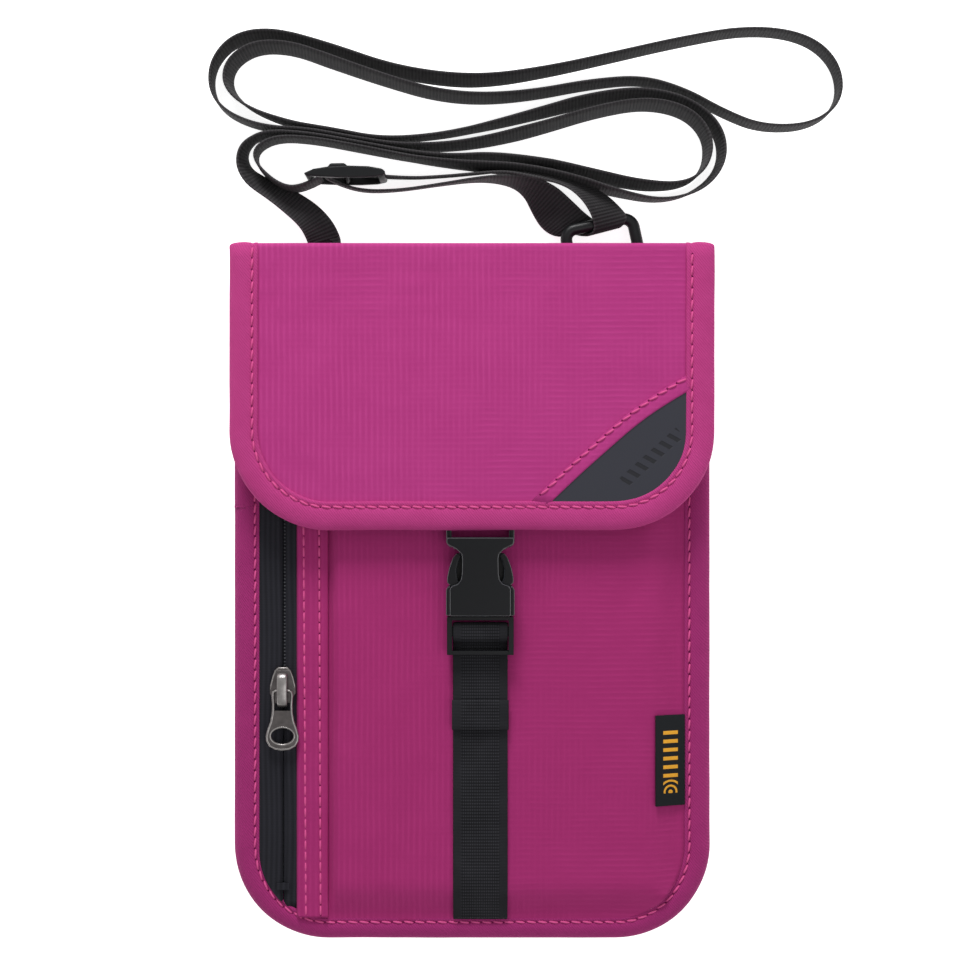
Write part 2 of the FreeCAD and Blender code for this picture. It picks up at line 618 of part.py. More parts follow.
# The strap's route over the table, from the sewn end at the left to the adjuster.
STRAP = [
    (-45.0, 106.6), (-46.5, 112.5), (-57.5, 121.0), (-69.0, 127.0), (-70.5, 135.0), (-63.8, 140.2), (-50.0, 139.6),
    (-35.0, 136.9), (-18.5, 133.7), (-6.0, 132.6), (6.0, 133.0), (22.0, 130.7), (38.0, 127.0), (52.0, 123.9),
    (64.5, 124.0), (71.2, 129.3), (72.2, 138.5), (66.0, 146.3), (53.5, 149.4), (38.5, 146.9), (20.0, 141.3),
    (5.0, 137.6), (-8.0, 135.8), (-22.0, 135.9), (-36.5, 138.2), (-50.0, 140.8), (-63.0, 141.3), (-74.2, 145.4),
    (-79.5, 152.0), (-79.1, 161.2), (-72.0, 169.0), (-60.0, 170.3), (-42.0, 165.2), (-25.0, 159.2), (-8.0, 156.3),
    (6.0, 156.1), (24.0, 159.0), (42.0, 163.0), (62.0, 167.6), (84.0, 171.6), (101.5, 169.3), (111.0, 161.0),
    (112.2, 149.5), (103.5, 142.0), (88.0, 141.3), (76.0, 146.2), (65.0, 152.4), (52.0, 156.4), (36.0, 155.0),
    (18.0, 151.6), (2.0, 150.4), (-12.0, 151.9), (-26.0, 156.0), (-42.0, 161.5), (-55.0, 166.2), (-66.0, 166.4),
    (-73.6, 161.3), (-74.8, 154.0), (-68.5, 147.6), (-56.0, 142.8), (-42.0, 140.6), (-28.0, 137.9), (-12.0, 138.8),
    (3.0, 141.7), (20.0, 146.0), (37.0, 150.6), (52.0, 152.4), (66.0, 149.2), (75.3, 141.2), (76.5, 131.0),
    (70.0, 122.8), (58.0, 119.0), (44.0, 121.8), (30.0, 126.1), (15.0, 129.0), (-4.0, 130.4), (-18.0, 132.2),
    (-34.0, 135.3), (-48.0, 137.9), (-59.5, 138.6), (-66.0, 135.0), (-65.6, 130.0), (-58.5, 123.6), (-52.0, 122.7),
    (-45.6, 126.3),
]
# The two strands between the adjuster and the ring, as far as they stand on edge.
LOWER = [(-44.6, 126.9), (-41.0, 125.0), (-33.0, 122.7), (-22.0, 123.2), (-10.0, 125.0), (3.0, 126.9)]
UPPER = [(-33.0, 127.6), (-21.0, 126.9), (-10.0, 127.4), (3.0, 128.6)]


def section(name, centre, wide, normal, width=10.0):
    """Rectangle of strap: its centre, the direction of its width and the way its face looks."""
    w = V(*wide).normalize() * (width / 2)
    t = V(*normal)
    t = (t - V(*wide).normalize() * t.dot(V(*wide).normalize())).normalize() * (D.strapCloth / 2)
    c = V(*centre)
    made = doc.addObject("Part::Polygon", name)
    made.Nodes = [c - w - t, c + w - t, c + w + t, c - w + t]
    made.Close = True
    return made


def make_strap(slide):
    """Sewn end, the long strap, and the doubled end that runs round the ring."""
    anchor = block("strap_anchor", ("-50.1", "-39.9"), ("97.2", "106.4"), ("1.76", "2.56"))
    export(anchor, "strap_anchor")
    strap, length, radii = upright_band("neck_band", STRAP, "0")
    export(cut("neck_strap", strap, slide), "neck_strap")
    lower, low_length, _ = upright_band("return_lower", LOWER, "0.3")
    upper, high_length, _ = upright_band("return_upper", UPPER, "0.3")
    bow = RING_BASE + RING_TURN.multVec(V(3.9, 11, 0))
    across = RING_TURN.multVec(V(1, 0, 0))
    away = RING_TURN.multVec(V(0, 1, 0))
    top = bow + away * 5 + V(0, 0, 2.35)
    under = bow + away * 3 - V(0, 0, 2.35)
    wide = (across.x, across.y, 0)
    outer = loft("return_outer_twist", [
        section("outer_a", (3.0, 128.6, 5.3), (0, 0, 1), (0, 1, 0)),
        section("outer_b", (17, 128.3, 5.5), (0.35, -0.2, 1), (0.1, 1, 0.1)),
        section("outer_c", (30, 124.6, 6.4), (0.75, 0.35, 0.75), (-0.3, 0.9, 0.6)),
        section("outer_d", tuple(top), wide, (0, 0.2, 1)),
    ])
    inner = loft("return_inner_twist", [
        section("inner_a", (3.0, 126.9, 5.3), (0, 0, 1), (0, 1, 0)),
        section("inner_b", (14, 124.6, 5.3), (0.3, 0.35, 1), (0.5, 1, -0.4)),
        section("inner_c", (26, 119.2, 4.2), (0.75, 0.5, 0.6), (0.1, 0.7, -0.8)),
        section("inner_d", tuple(under), wide, (0, 0.1, -1)),
    ])
    path = [(5, 2.35), (0, 2.35)]
    for degrees in (75, 45, 15, -15, -45, -75):
        angle = math.radians(degrees)
        path.append((-2.45 * math.cos(angle), 2.45 * math.sin(angle)))
    path += [(0, -2.35), (3, -2.35)]
    wrap_profile = doc.addObject("Sketcher::SketchObject", "wrap_profile")
    wrap_profile.Placement = FreeCAD.Placement(bow - across * 5.2, RING_TURN.multiply(SIDE))
    wrap_profile.addGeometry(ribbon(path, D.strapCloth), False)
    wrap = extrude("ring_wrap", wrap_profile, "8.4")
    strands = fuse("return_strands", [lower, upper, outer, inner, wrap])
    export(cut("strap_return", strands, slide), "strap_return")
    return strap, length, radii


def make_adjuster():
    """Plastic slide on the strap, standing on its edge: a frame with two windows and a bar."""
    x, y = D.slideX, D.slideY
    turn = FreeCAD.Rotation(V(1, 0, 0), 90)
    frame = sketch("adjuster_frame", outline([(x - 12.3, 0.2), (x + 12.3, 0.2), (x + 12.3, 14.8), (x - 12.3, 14.8)],
                                             [3, 3, 3, 3]), turn=turn, base=V(0, y + 1.7, 0))
    body = extrude("adjuster_body", frame, "dims.slideThick")
    left = block("adjuster_window_left", ("dims.slideX - 10.1", "dims.slideX - 1.3"),
                 ("dims.slideY - 4", "dims.slideY + 4"), ("1.6", "12.8"))
    right = block("adjuster_window_right", ("dims.slideX + 1.3", "dims.slideX + 10.1"),
                  ("dims.slideY - 4", "dims.slideY + 4"), ("1.6", "12.8"))
    windows = fuse("adjuster_windows", [left, right])
    slide = cut("strap_adjuster", body, windows)
    export(slide, "strap_adjuster")
    return slide


# ---------------------------------------------------------------- build, check and export
make_back()
make_binding()
make_divider()
make_front()
make_zip()
make_label()
make_fold()
make_flap()
make_patch()
make_tab()
make_socket()
make_plug()
make_arm(-1, "plug_arm_left")
make_arm(1, "plug_arm_right")
make_webbing()
make_slider()
make_pull()
make_ring()
STRAP_BODY, STRAP_LENGTH, STRAP_RADII = make_strap(make_adjuster())
doc.recompute()

for obj in doc.Objects:
    bad = [state for state in obj.State if state in ("Invalid", "Error")]
    if bad:
        raise RuntimeError("%s is %s" % (obj.Label, bad))
for obj, label in EXPORTS:
    if obj.Shape.isNull() or not obj.Shape.isValid() or not obj.Shape.Solids:
        raise RuntimeError("%s has no sound shape" % label)
    if len(obj.Shape.Solids) != 1:
        print("%s has %d solids" % (label, len(obj.Shape.Solids)))
for obj, label in EXPORTS:
    obj.Shape.exportStep("parts/%s.step" % label)
volume = STRAP_BODY.Shape.Volume
print("strap length %.1f mm, section x length %.1f mm3, volume %.1f mm3"
      % (STRAP_LENGTH, STRAP_LENGTH * D.strapHigh * D.strapCloth, volume))
print("strap corner radii: smallest %.1f mm, largest %.1f mm" % (min(STRAP_RADII), max(STRAP_RADII)))
print("%d parts" % len(EXPORTS))
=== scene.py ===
import bpy, bmesh, math
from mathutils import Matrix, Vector, noise


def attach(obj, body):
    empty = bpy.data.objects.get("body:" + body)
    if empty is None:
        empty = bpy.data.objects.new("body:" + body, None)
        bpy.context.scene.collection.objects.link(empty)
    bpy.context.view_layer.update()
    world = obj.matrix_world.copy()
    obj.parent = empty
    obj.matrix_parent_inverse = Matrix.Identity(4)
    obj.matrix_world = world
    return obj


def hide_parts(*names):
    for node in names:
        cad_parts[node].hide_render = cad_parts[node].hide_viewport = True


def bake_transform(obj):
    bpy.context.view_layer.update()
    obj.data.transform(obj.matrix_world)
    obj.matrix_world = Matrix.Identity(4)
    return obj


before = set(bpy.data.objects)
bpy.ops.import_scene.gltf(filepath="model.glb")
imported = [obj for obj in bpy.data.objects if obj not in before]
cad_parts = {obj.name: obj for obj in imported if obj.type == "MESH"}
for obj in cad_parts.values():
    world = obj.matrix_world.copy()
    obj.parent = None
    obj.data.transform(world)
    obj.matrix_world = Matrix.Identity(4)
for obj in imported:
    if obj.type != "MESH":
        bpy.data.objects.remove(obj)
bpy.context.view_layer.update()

# Camera, light and floor. A camera looks straight down on the pouch as it lies on its back,
# over a plain white floor, with one broad soft light from above its top edge and an even fill.
scene = bpy.context.scene
UP = Vector((0, 0, 1))
eye = bpy.data.objects.new("camera", bpy.data.cameras.new("camera"))
eye.data.lens = 62.76
eye.data.sensor_width = 36
eye.data.clip_start = 0.01
eye.location = (0.0024, 0.0344, 0.515)
scene.collection.objects.link(eye)
scene.camera = eye
scene.view_settings.view_transform = "Standard"
for name, place, size, power in (("key", (-0.12, 0.85, 0.40), 0.3, 7.2), ("fill", (0.35, -0.25, 0.9), 0.7, 2.0)):
    lamp = bpy.data.objects.new(name, bpy.data.lights.new(name, "AREA"))
    lamp.data.size = size
    lamp.data.energy = power
    lamp.location = place
    lamp.rotation_euler = (Vector((0, 0.02, 0)) - Vector(place)).to_track_quat("-Z", "Y").to_euler()
    scene.collection.objects.link(lamp)
world = scene.world or bpy.data.worlds.new("world")
scene.world = world
world.use_nodes = True
world.node_tree.nodes["Background"].inputs["Color"].default_value = (1, 1, 1, 1)
world.node_tree.nodes["Background"].inputs["Strength"].default_value = 0.5


def solid(name, points, faces, uvs=None, smooth=True):
    """A mesh object from points in millimetres."""
    mesh = bpy.data.meshes.new(name)
    mesh.from_pydata([Vector(p) * 0.001 for p in points], [], faces)
    mesh.update()
    if uvs:
        layer = mesh.uv_layers.new(name="along")
        for loop in mesh.loops:
            layer.data[loop.index].uv = uvs[loop.vertex_index]
    if smooth:
        mesh.shade_smooth()
    obj = bpy.data.objects.new(name, mesh)
    scene.collection.objects.link(obj)
    return obj


def outward(obj):
    """Turns the faces of a closed mesh outwards."""
    tool = bmesh.new()
    tool.from_mesh(obj.data)
    bmesh.ops.recalc_face_normals(tool, faces=tool.faces)
    tool.to_mesh(obj.data)
    tool.free()
    return obj


def heading(path, i):
    """The direction of a path at its point i."""
    return (path[min(i + 1, len(path) - 1)] - path[max(i - 1, 0)]).normalized()


def settle(obj, body, slot, *nodes):
    """The body a piece rides and the CAD nodes it stands for, if any; the slot is not used."""
    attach(obj, body)
    if nodes:
        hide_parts(*nodes)


def dress(obj, finish, body, slot, *nodes):
    """Gives a piece its finish and settles it."""
    obj.data.materials.append(finish.made)
    settle(obj, body, slot, *nodes)


class Socket:
    """An output socket that takes arithmetic, and makes the nodes it needs."""

    def __init__(self, tree, out):
        self.tree, self.out = tree, out

    def node(self, kind, settings=None, pick=0, **values):
        made = self.tree.nodes.new(kind)
        for key, value in (settings or {}).items():
            setattr(made, key, value)
        for key, value in values.items():
            socket = made.inputs[int(key[1:])] if key[1:].isdigit() else made.inputs[key.replace("_", " ")]
            if isinstance(value, Socket):
                self.tree.links.new(value.out, socket)
            else:
                socket.default_value = value
        return Socket(self.tree, made.outputs[pick])

    def math(self, kind, *values):
        return self.node("ShaderNodeMath", {"operation": kind}, **{"i%d" % i: v for i, v in enumerate(values)})

    def __add__(self, other): return self.math("ADD", self, other)
    def __radd__(self, other): return self.math("ADD", other, self)
    def __sub__(self, other): return self.math("SUBTRACT", self, other)
    def __rsub__(self, other): return self.math("SUBTRACT", other, self)
    def __mul__(self, other): return self.math("MULTIPLY", self, other)
    def __abs__(self): return self.math("ABSOLUTE", self)
    def sin(self): return self.math("SINE", self)
    def sqrt(self): return self.math("SQRT", self)

    def ridges(self, period):
        """A sine of this value that repeats over the given period."""
        return (self * (2 * math.pi / period)).sin()

    def step(self, low, high):
        return self.node("ShaderNodeMapRange", {"interpolation_type": "SMOOTHSTEP"}, i0=self, i1=low, i2=high)


def colour(code):
    """Linear colour from an sRGB hex code."""
    parts = [int(code[i:i + 2], 16) / 255 for i in (0, 2, 4)]
    return tuple(p / 12.92 if p < 0.04045 else ((p + 0.055) / 1.055) ** 2.4 for p in parts) + (1,)


class Finish:
    """A material with its shader, the point in millimetres and ways to colour and bump it."""

    def __init__(self, name, code, rough, metal=0.0, sheen=0.0, gloss=0.5):
        self.made = bpy.data.materials.new(name)
        self.made.use_nodes = True
        self.tree = self.made.node_tree
        self.shader = self.tree.nodes["Principled BSDF"]
        self.shader.inputs["Base Color"].default_value = colour(code)
        self.shader.inputs["Roughness"].default_value = rough
        self.shader.inputs["Metallic"].default_value = metal
        self.shader.inputs["Sheen Weight"].default_value = sheen
        self.shader.inputs["Specular IOR Level"].default_value = gloss
        self.made.diffuse_color = colour(code)
        self.at = Socket(self.tree, self.tree.nodes.new("ShaderNodeTexCoord").outputs["Object"])
        split = self.tree.nodes.new("ShaderNodeSeparateXYZ")
        self.tree.links.new(self.at.out, split.inputs[0])
        self.x, self.y, self.z = (Socket(self.tree, split.outputs[i]) * 1000 for i in range(3))

    def along(self):
        made = self.tree.nodes.new("ShaderNodeUVMap")
        made.uv_map = "along"
        split = self.tree.nodes.new("ShaderNodeSeparateXYZ")
        self.tree.links.new(made.outputs[0], split.inputs[0])
        return Socket(self.tree, split.outputs[0]), Socket(self.tree, split.outputs[1])

    def cloud(self, size, detail=2.0):
        """Soft noise from 0 to 1, with lumps of about that many millimetres."""
        return self.at.node("ShaderNodeTexNoise", {"noise_dimensions": "3D"}, Vector=self.at,
                            Scale=1000 / size, Detail=detail)

    def mix(self, share, first, second):
        return self.at.node("ShaderNodeMix", {"data_type": "RGBA"}, pick=2, i0=share, i6=first, i7=second)

    def set(self, socket, value):
        self.tree.links.new(value.out, self.shader.inputs[socket])
        return self

    def bump(self, height, depth, strength=1.0):
        """Raises the surface by height, from 0 to 1, times depth in millimetres."""
        made = self.at.node("ShaderNodeBump", {}, Height=height, Distance=depth * 0.001, Strength=strength)
        return self.set("Normal", made)


floor = solid("floor", [(-2000, -2000, -0.4), (2000, -2000, -0.4), (2000, 2000, -0.4), (-2000, 2000, -0.4)], [(0, 1, 2, 3)])
paper = Finish("floor_white", "FFFFFF", 0.95, gloss=0.0)
paper.shader.inputs["Emission Color"].default_value = (1, 1, 1, 1)
paper.shader.inputs["Emission Strength"].default_value = 0.8
floor.data.materials.append(paper.made)

# Neck strap: one flat woven strap, 10 mm wide. It is sewn into the top seam at the left, lies flat there,
# then turns up on its edge and runs in loose loops over the table to the adjuster. Its middle line lies
# 5 mm above the table from the fourth point on.
ROUTE = [(-45, 106.6, 3), (-46.5, 112.5, 3.8), (-57.5, 121, 4.6)]
ROUTE += [(x, y, 5) for x, y in (
    (-69, 127), (-70.5, 135), (-63.8, 140.2), (-50, 139.6), (-35, 136.9), (-18.5, 133.7), (-6, 132.6), (6, 133),
    (22, 130.7), (38, 127), (52, 123.9), (64.5, 124), (71.2, 129.3), (72.2, 138.5), (66, 146.3), (53.5, 149.4),
    (38.5, 146.9), (20, 141.3), (5, 137.6), (-8, 135.8), (-22, 135.9), (-36.5, 138.2), (-50, 140.8), (-63, 141.3),
    (-74.2, 145.4), (-79.5, 152), (-79.1, 161.2), (-72, 169), (-60, 170.3), (-42, 165.2), (-25, 159.2), (-8, 156.3),
    (6, 156.1), (24, 159), (42, 163), (62, 167.6), (84, 171.6), (101.5, 169.3), (111, 161), (112.2, 149.5),
    (103.5, 142), (88, 141.3), (76, 146.2), (65, 152.4), (52, 156.4), (36, 155), (18, 151.6), (2, 150.4),
    (-12, 151.9), (-26, 156), (-42, 161.5), (-55, 166.2), (-66, 166.4), (-73.6, 161.3), (-74.8, 154), (-68.5, 147.6),
    (-56, 142.8), (-42, 140.6), (-28, 137.9), (-12, 138.8), (3, 141.7), (20, 146), (37, 150.6), (52, 152.4),
    (66, 149.2), (75.3, 141.2), (76.5, 131), (70, 122.8), (58, 119), (44, 121.8), (30, 126.1), (15, 129), (-4, 130.4),
    (-18, 132.2), (-34, 135.3), (-48, 137.9), (-59.5, 138.6), (-66, 135), (-65.6, 130), (-58.5, 123.6), (-52, 122.7),
    (-45.6, 126.3))]
ROUTE = [(x / 1000, y / 1000, z / 1000) for x, y, z in ROUTE]


def follow(points, fine=8):
    """Points read from a smooth open spline through the route's control points."""
    curve = bpy.data.curves.new("route", "CURVE")
    curve.dimensions = "3D"
    curve.resolution_u = fine
    spline = curve.splines.new("NURBS")
    spline.points.add(len(points) - 1)
    for place, p in zip(spline.points, points):
        place.co = (*p, 1)
    spline.order_u = 3
    spline.use_endpoint_u = True
    obj = bpy.data.objects.new("route", curve)
    scene.collection.objects.link(obj)
    mesh = bpy.data.meshes.new_from_object(obj)
    found = [v.co.copy() for v in mesh.vertices]
    bpy.data.objects.remove(obj)
    bpy.data.curves.remove(curve)
    bpy.data.meshes.remove(mesh)
    return found


def smoothed(points, fine=8):
    """The same spline, for points in millimetres."""
    return [p * 1000 for p in follow([Vector(p) * 0.001 for p in points], fine)]


STRAP_EDGE = [(5.0, 0.0), (4.88, 0.26), (4.6, 0.4), (2.3, 0.4), (0, 0.4), (-2.3, 0.4), (-4.6, 0.4), (-4.88, 0.26),
              (-5.0, 0.0), (-4.88, -0.26), (-4.6, -0.4), (-2.3, -0.4), (0, -0.4), (2.3, -0.4), (4.6, -0.4), (4.88, -0.26)]


def sweep(name, stations, section, caps=True):
    """Carries a closed section, given as (wide, thick), along stations of (centre, wide, thick) in millimetres."""
    points, uvs, faces = [], [], []
    run, last = 0.0, None
    for centre, wide, thick in stations:
        run += (centre - last).length if last is not None else 0.0
        last = centre
        for a, b in section:
            points.append(centre + wide * a + thick * b)
            uvs.append((run, a))
    n = len(section)
    for i in range(len(stations) - 1):
        for k in range(n):
            m = (k + 1) % n
            faces.append((i * n + k, (i + 1) * n + k, (i + 1) * n + m, i * n + m))
    if caps:
        faces.append(tuple(range(n)))
        faces.append(tuple((len(stations) - 1) * n + k for k in reversed(range(n))))
    return outward(solid(name, points, faces, uvs))


LEAN = [(0, 84), (8, 64), (20, 45), (30, 30), (38, 10), (44, 0), (105, 0), (136, 12), (165, 8), (190, -8), (220, -9),
        (255, -12), (295, 0), (359, 0), (385, 9), (445, 11), (480, 6), (530, 0), (630, 0), (655, -5), (711, -8), (735, -12),
        (772, -9), (792, 0), (851, 0), (883, 12), (930, 8), (950, 8), (985, -9), (1010, -12), (1040, 0)]
line = [p * 1000 for p in follow(ROUTE)]
stations, run = [], 0.0
for i, p in enumerate(line):
    ahead = heading(line, i)
    run += (p - line[i - 1]).length if i else 0.0
    lean = 0.0
    for (a, high), (b, low) in zip(LEAN, LEAN[1:]):
        if a <= run < b:
            lean = high + (low - high) * (run - a) / (b - a)
    lean = math.radians(lean + 3 * noise.noise(Vector((run / 45, 0, 0))) * min(1, run / 90))
    aside = UP.cross(ahead).normalized()
    wide = (UP * math.cos(lean) + aside * math.sin(lean)).normalized()
    stations.append((p, wide, ahead.cross(wide).normalized()))
weave = Finish("strap_weave", "2C2B2E", 0.85, sheen=0.05, gloss=0.2)
u, v = weave.along()
rib = u.ridges(1.05) * 0.5 + 0.5
edge = abs(v).step(4.2, 4.7)
grid = v.ridges(0.8) * 0.5 + 0.5
speck = weave.cloud(1.1, 1.0).step(0.76, 0.8)
weave.set("Base Color", weave.mix(weave.cloud(9) * 0.3 + rib * 0.35 + edge * 0.4 + speck, colour("141315"), colour("403E40")))
weave.bump(rib * 0.8 + grid * 0.3, 0.2, 0.8)
neck = sweep("neck_strap_cloth", stations, STRAP_EDGE)
dress(neck, weave, "pouch", "strap_cloth", "neck_strap")
sewn = sweep("strap_sewn_end", [(Vector((x, y, z)), Vector((-0.97, turn, 0)), Vector((0, -0.06, 1))) for x, y, z, turn in
                                ((-45.3, 107.6, 2.85, -0.24), (-44.8, 105, 2.5, -0.2), (-44.6, 102, 2.3, -0.1),
                                    (-44.5, 97.3, 2.25, -0.05))], STRAP_EDGE)
dress(sewn, weave, "pouch", "strap_cloth", "strap_anchor")

# Strap's doubled end: from the adjuster one strand runs to the ring, wraps its bow and comes back below.
# It is the same woven strap, and turns from standing on its edge to lying flat over the ring.
EDGE_HIGH = [
    (-33, 126.8, 10), (-21, 125.6, 10), (-10, 126.0, 10), (3, 127.2, 10), (10, 127.6, 10), (17.2, 126.2, 10),
    (23.2, 124.9, 10), (28.8, 123.0, 9.8), (33.0, 119.5, 9.5), (35.8, 115.2, 8.8), (37.0, 111.8, 7.5),
    (36.8, 109.7, 6.4), (35.4, 109.0, 4.7), (33.4, 109.2, 2.6), (31.3, 109.6, 2.0), (25.8, 108.6, 1.8), (21.2, 111.4, 1.4),
    (18.2, 116.6, 1), (15.9, 121.8, 0.6), (11.3, 125.1, 0.4), (2.4, 126.4, 0.4), (-10, 125, 0.4), (-22, 123.2, 0.4),
    (-33, 122.7, 0.4), (-41, 125, 0.4), (-44.6, 126.9, 0.4)]
EDGE_LOW = [
    (-33, 127.6, 0.4), (-21, 126.9, 0.4), (-10, 127.4, 0.4), (3, 128.6, 0.4), (11, 129.6, 0.4), (19, 129.6, 0.8),
    (27, 128, 1.8), (35, 125, 3.2), (41, 121.3, 4.8), (44.6, 117.8, 6.2), (47.2, 114.6, 7.1),
    (46.4, 112.3, 6.6), (44.9, 111.4, 4.7), (43, 112, 2.7), (40.4, 112.2, 2.1), (35.2, 115.4, 2.8), (30.6, 119.6, 4.0),
    (25.4, 124.0, 6.0), (18.6, 126.4, 8.6), (11.3, 126.6, 9.9), (3, 125.9, 10.1), (-10, 123.7, 10), (-22, 121.9, 10),
    (-33, 121.7, 10), (-41, 124.2, 10), (-44.6, 126.3, 10)]
highs = smoothed(EDGE_HIGH, 10)
lows = smoothed(EDGE_LOW, 10)
mids = [(a + b) / 2 for a, b in zip(highs, lows)]
stations = []
for i, (a, b) in enumerate(zip(highs, lows)):
    ahead = heading(mids, i)
    wide = (a - b).normalized()
    stations.append((mids[i], wide * ((a - b).length / 10), ahead.cross(wide).normalized()))
strands = sweep("strap_return_cloth", stations, STRAP_EDGE)
strands.data.materials.append(weave.made)
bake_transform(strands)
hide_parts("strap_return")


def keep(node, finish):
    """A CAD piece whose shape is right stays, in a finish of its own."""
    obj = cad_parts[node]
    obj.data.materials.clear()
    obj.data.materials.append(finish.made)


moulded = Finish("moulded_plastic", "131416", 0.4, gloss=0.25)
moulded.set("Roughness", moulded.cloud(0.8) * 0.18 + 0.32)
moulded.bump(moulded.cloud(0.35, 3.0), 0.03, 0.5)

# Strap adjuster: a moulded slide that stands on its edge, a frame with two windows and a centre bar.
# From above it is a thin lens, with a low grip on its outer side.
def moulding(name, slabs, soft, finish, edge=None):
    """Upright slabs, each (outline, low, high) in millimetres, with rounded edges, as one piece; an edge finish, if
    given, paints its sloping faces lighter as a painted highlight.
    """
    points, faces = [], []
    whole = bmesh.new()
    for outline, low, high in slabs:
        part = bmesh.new()
        under = [part.verts.new((x * 0.001, y * 0.001, low * 0.001)) for x, y in outline]
        over = [part.verts.new((x * 0.001, y * 0.001, high * 0.001)) for x, y in outline]
        part.faces.new(under[::-1])
        part.faces.new(over)
        for i in range(len(under)):
            j = (i + 1) % len(under)
            part.faces.new((under[i], under[j], over[j], over[i]))
        bmesh.ops.recalc_face_normals(part, faces=part.faces)
        sharp = [e for e in part.edges if len(e.link_faces) == 2 and e.calc_face_angle() > 0.45]
        bmesh.ops.bevel(part, geom=sharp, offset=min(soft, (high - low) * 0.3) * 0.001, segments=3, profile=0.5,
                        affect="EDGES", material=-1, clamp_overlap=True)
        mesh = bpy.data.meshes.new("slab")
        part.to_mesh(mesh)
        part.free()
        whole.from_mesh(mesh)
        bpy.data.meshes.remove(mesh)
    # Faces that slope between flat and upright take the edge finish, a lighter colour: a painted highlight along the
    # bevels.
    for face in whole.faces if edge else []:
        if 0.25 < face.normal.z < 0.95:
            face.material_index = 1
    mesh = bpy.data.meshes.new(name)
    whole.to_mesh(mesh)
    whole.free()
    obj = bpy.data.objects.new(name, mesh)
    scene.collection.objects.link(obj)
    obj.data.materials.append(finish.made)
    if edge:
        obj.data.materials.append(edge.made)
    return obj


LENS = [(-50.4, 126.2), (-47.5, 127.5), (-43.2, 128.2), (-37.2, 128.5), (-31, 128.3), (-27, 127.6), (-25.9, 126.7),
    (-26.3, 125.8),
        (-29, 125.2), (-34, 124.95), (-40, 124.95), (-46, 125.2), (-49.8, 125.6)]
ROD = [(math.cos(math.radians(a)), math.sin(math.radians(a))) for a in range(0, 360, 30)]
slide = moulding("strap_adjuster_slide", [
    (LENS, 12.7, 14.8), (LENS, 0.2, 1.7), ([(-50.4, 126.2), (-48.2, 127.3), (-48.2, 125.3), (-49.8, 125.6)], 0.8, 14.2),
    ([(-28.2, 127.9), (-27, 127.6), (-25.9, 126.7), (-26.3, 125.8), (-28.2, 125.3)], 0.8, 14.2),
    ([(-38.2 + 1.3 * x, 126.7 + 1.5 * y) for x, y in ROD], 0.8, 14.2),
    ([(-43.4, 128.0), (-42.4, 129.2), (-38.2, 129.3), (-37.0, 128.2)], 11.6, 14.6)], 0.45, moulded)
settle(slide, "pouch", "ring_plastic", "strap_adjuster")
follow(ROUTE)

# Ring and its tab: a moulded D-ring swings in a loop of the body's own cloth, sewn into the top seam.
# The ring keeps its moulded shape; the tab is cloth folded round the ring's straight bar.
turn = math.radians(12)
ACROSS = Vector((math.cos(turn), math.sin(turn), 0))
AWAY = Vector((-math.sin(turn), math.cos(turn), 0))
HEART = Vector((40.7, 101.6, 4.7))
loop = [(-14, 2.0), (-9, 2.1), (-5.5, 2.5)]
loop += [(2.45 * math.cos(math.radians(a)), 2.45 * math.sin(math.radians(a)) + 4.7) for a in range(-125, 126, 25)]
loop += [(-5.5, 4.1), (-9, 3.0), (-14, 2.9)]
stations = []
for i, (a, b) in enumerate(loop):
    c, d = loop[max(i - 1, 0)], loop[min(i + 1, len(loop) - 1)]
    ahead = (AWAY * (d[0] - c[0]) + UP * (d[1] - c[1])).normalized()
    centre = Vector((HEART.x, HEART.y, 0)) + AWAY * a + UP * b
    stations.append((centre, ACROSS, ahead.cross(ACROSS)))
TAB_EDGE = [(7.4, 0), (7.3, 0.28), (7, 0.4), (0, 0.4), (-7, 0.4), (-7.3, 0.28), (-7.4, 0), (-7.3, -0.28), (-7, -0.4),
            (0, -0.4), (7, -0.4), (7.3, -0.28)]
tab = sweep("ring_tab_cloth", stations, TAB_EDGE)


def cloth(name, code, dark, light, ribs):
    """Woven nylon: fine threads, raised ripstop ribs that fade in and out, and a slow change of tone."""
    made = Finish(name, code, 0.78, sheen=0.03, gloss=0.2)
    threads = made.x.ridges(0.42) * made.y.ridges(0.42) * 0.5 + 0.5
    patchy = made.cloud(7, 2.0).step(0.3, 0.65)
    upright = made.at.math("POWER", (made.x + made.cloud(30) * 1.2).ridges(1.75) * 0.5 + 0.5, 2.0)
    level = made.at.math("POWER", (made.y + made.cloud(26) * 1.2).ridges(1.75) * 0.5 + 0.5, 2.0)
    shift = (made.cloud(34) * 0.8 + made.x * 0.003 + 0.1).step(0.35, 0.75)
    ribbing = upright * (1 - shift) * (0.35 + patchy * 0.65) + level * (0.15 + shift * 0.4) * (1 - patchy * 0.6)
    tone = made.cloud(16, 4.0).step(0.2, 0.8) * 0.2 + ribbing * ribs * 0.55
    made.set("Base Color", made.mix(tone, colour(dark), colour(light)))
    made.bump(threads * 0.35 + ribbing * ribs + made.cloud(5, 3.0) * 0.7, 0.14, 0.8)
    return made


def twill(name, code, dark, light):
    """Binding tape: fine slanting ribs."""
    made = Finish(name, code, 0.8, sheen=0.03, gloss=0.2)
    slant = (made.x + made.y * 0.8 + made.z * 0.7).ridges(0.8) * 0.5 + 0.5
    grain = made.y.ridges(0.55) * made.x.ridges(0.55) * 0.5 + 0.5
    made.set("Base Color", made.mix(made.cloud(7, 4.0) * 0.5 + slant * 0.35 + grain * 0.15, colour(dark), colour(light)))
    made.bump(slant * 0.6 + grain * 0.4 + made.cloud(3, 2.0) * 0.7, 0.16, 0.8)
    return made


# The body's nylon is a darker copy of the flap's nylon, one cloth in two colours: the darker body is painted shade.
body_cloth = cloth("body_nylon", "A02868", "9B2566", "AF3276", 0.8)
dress(tab, body_cloth, "pouch", "body_cloth", "ring_tab")


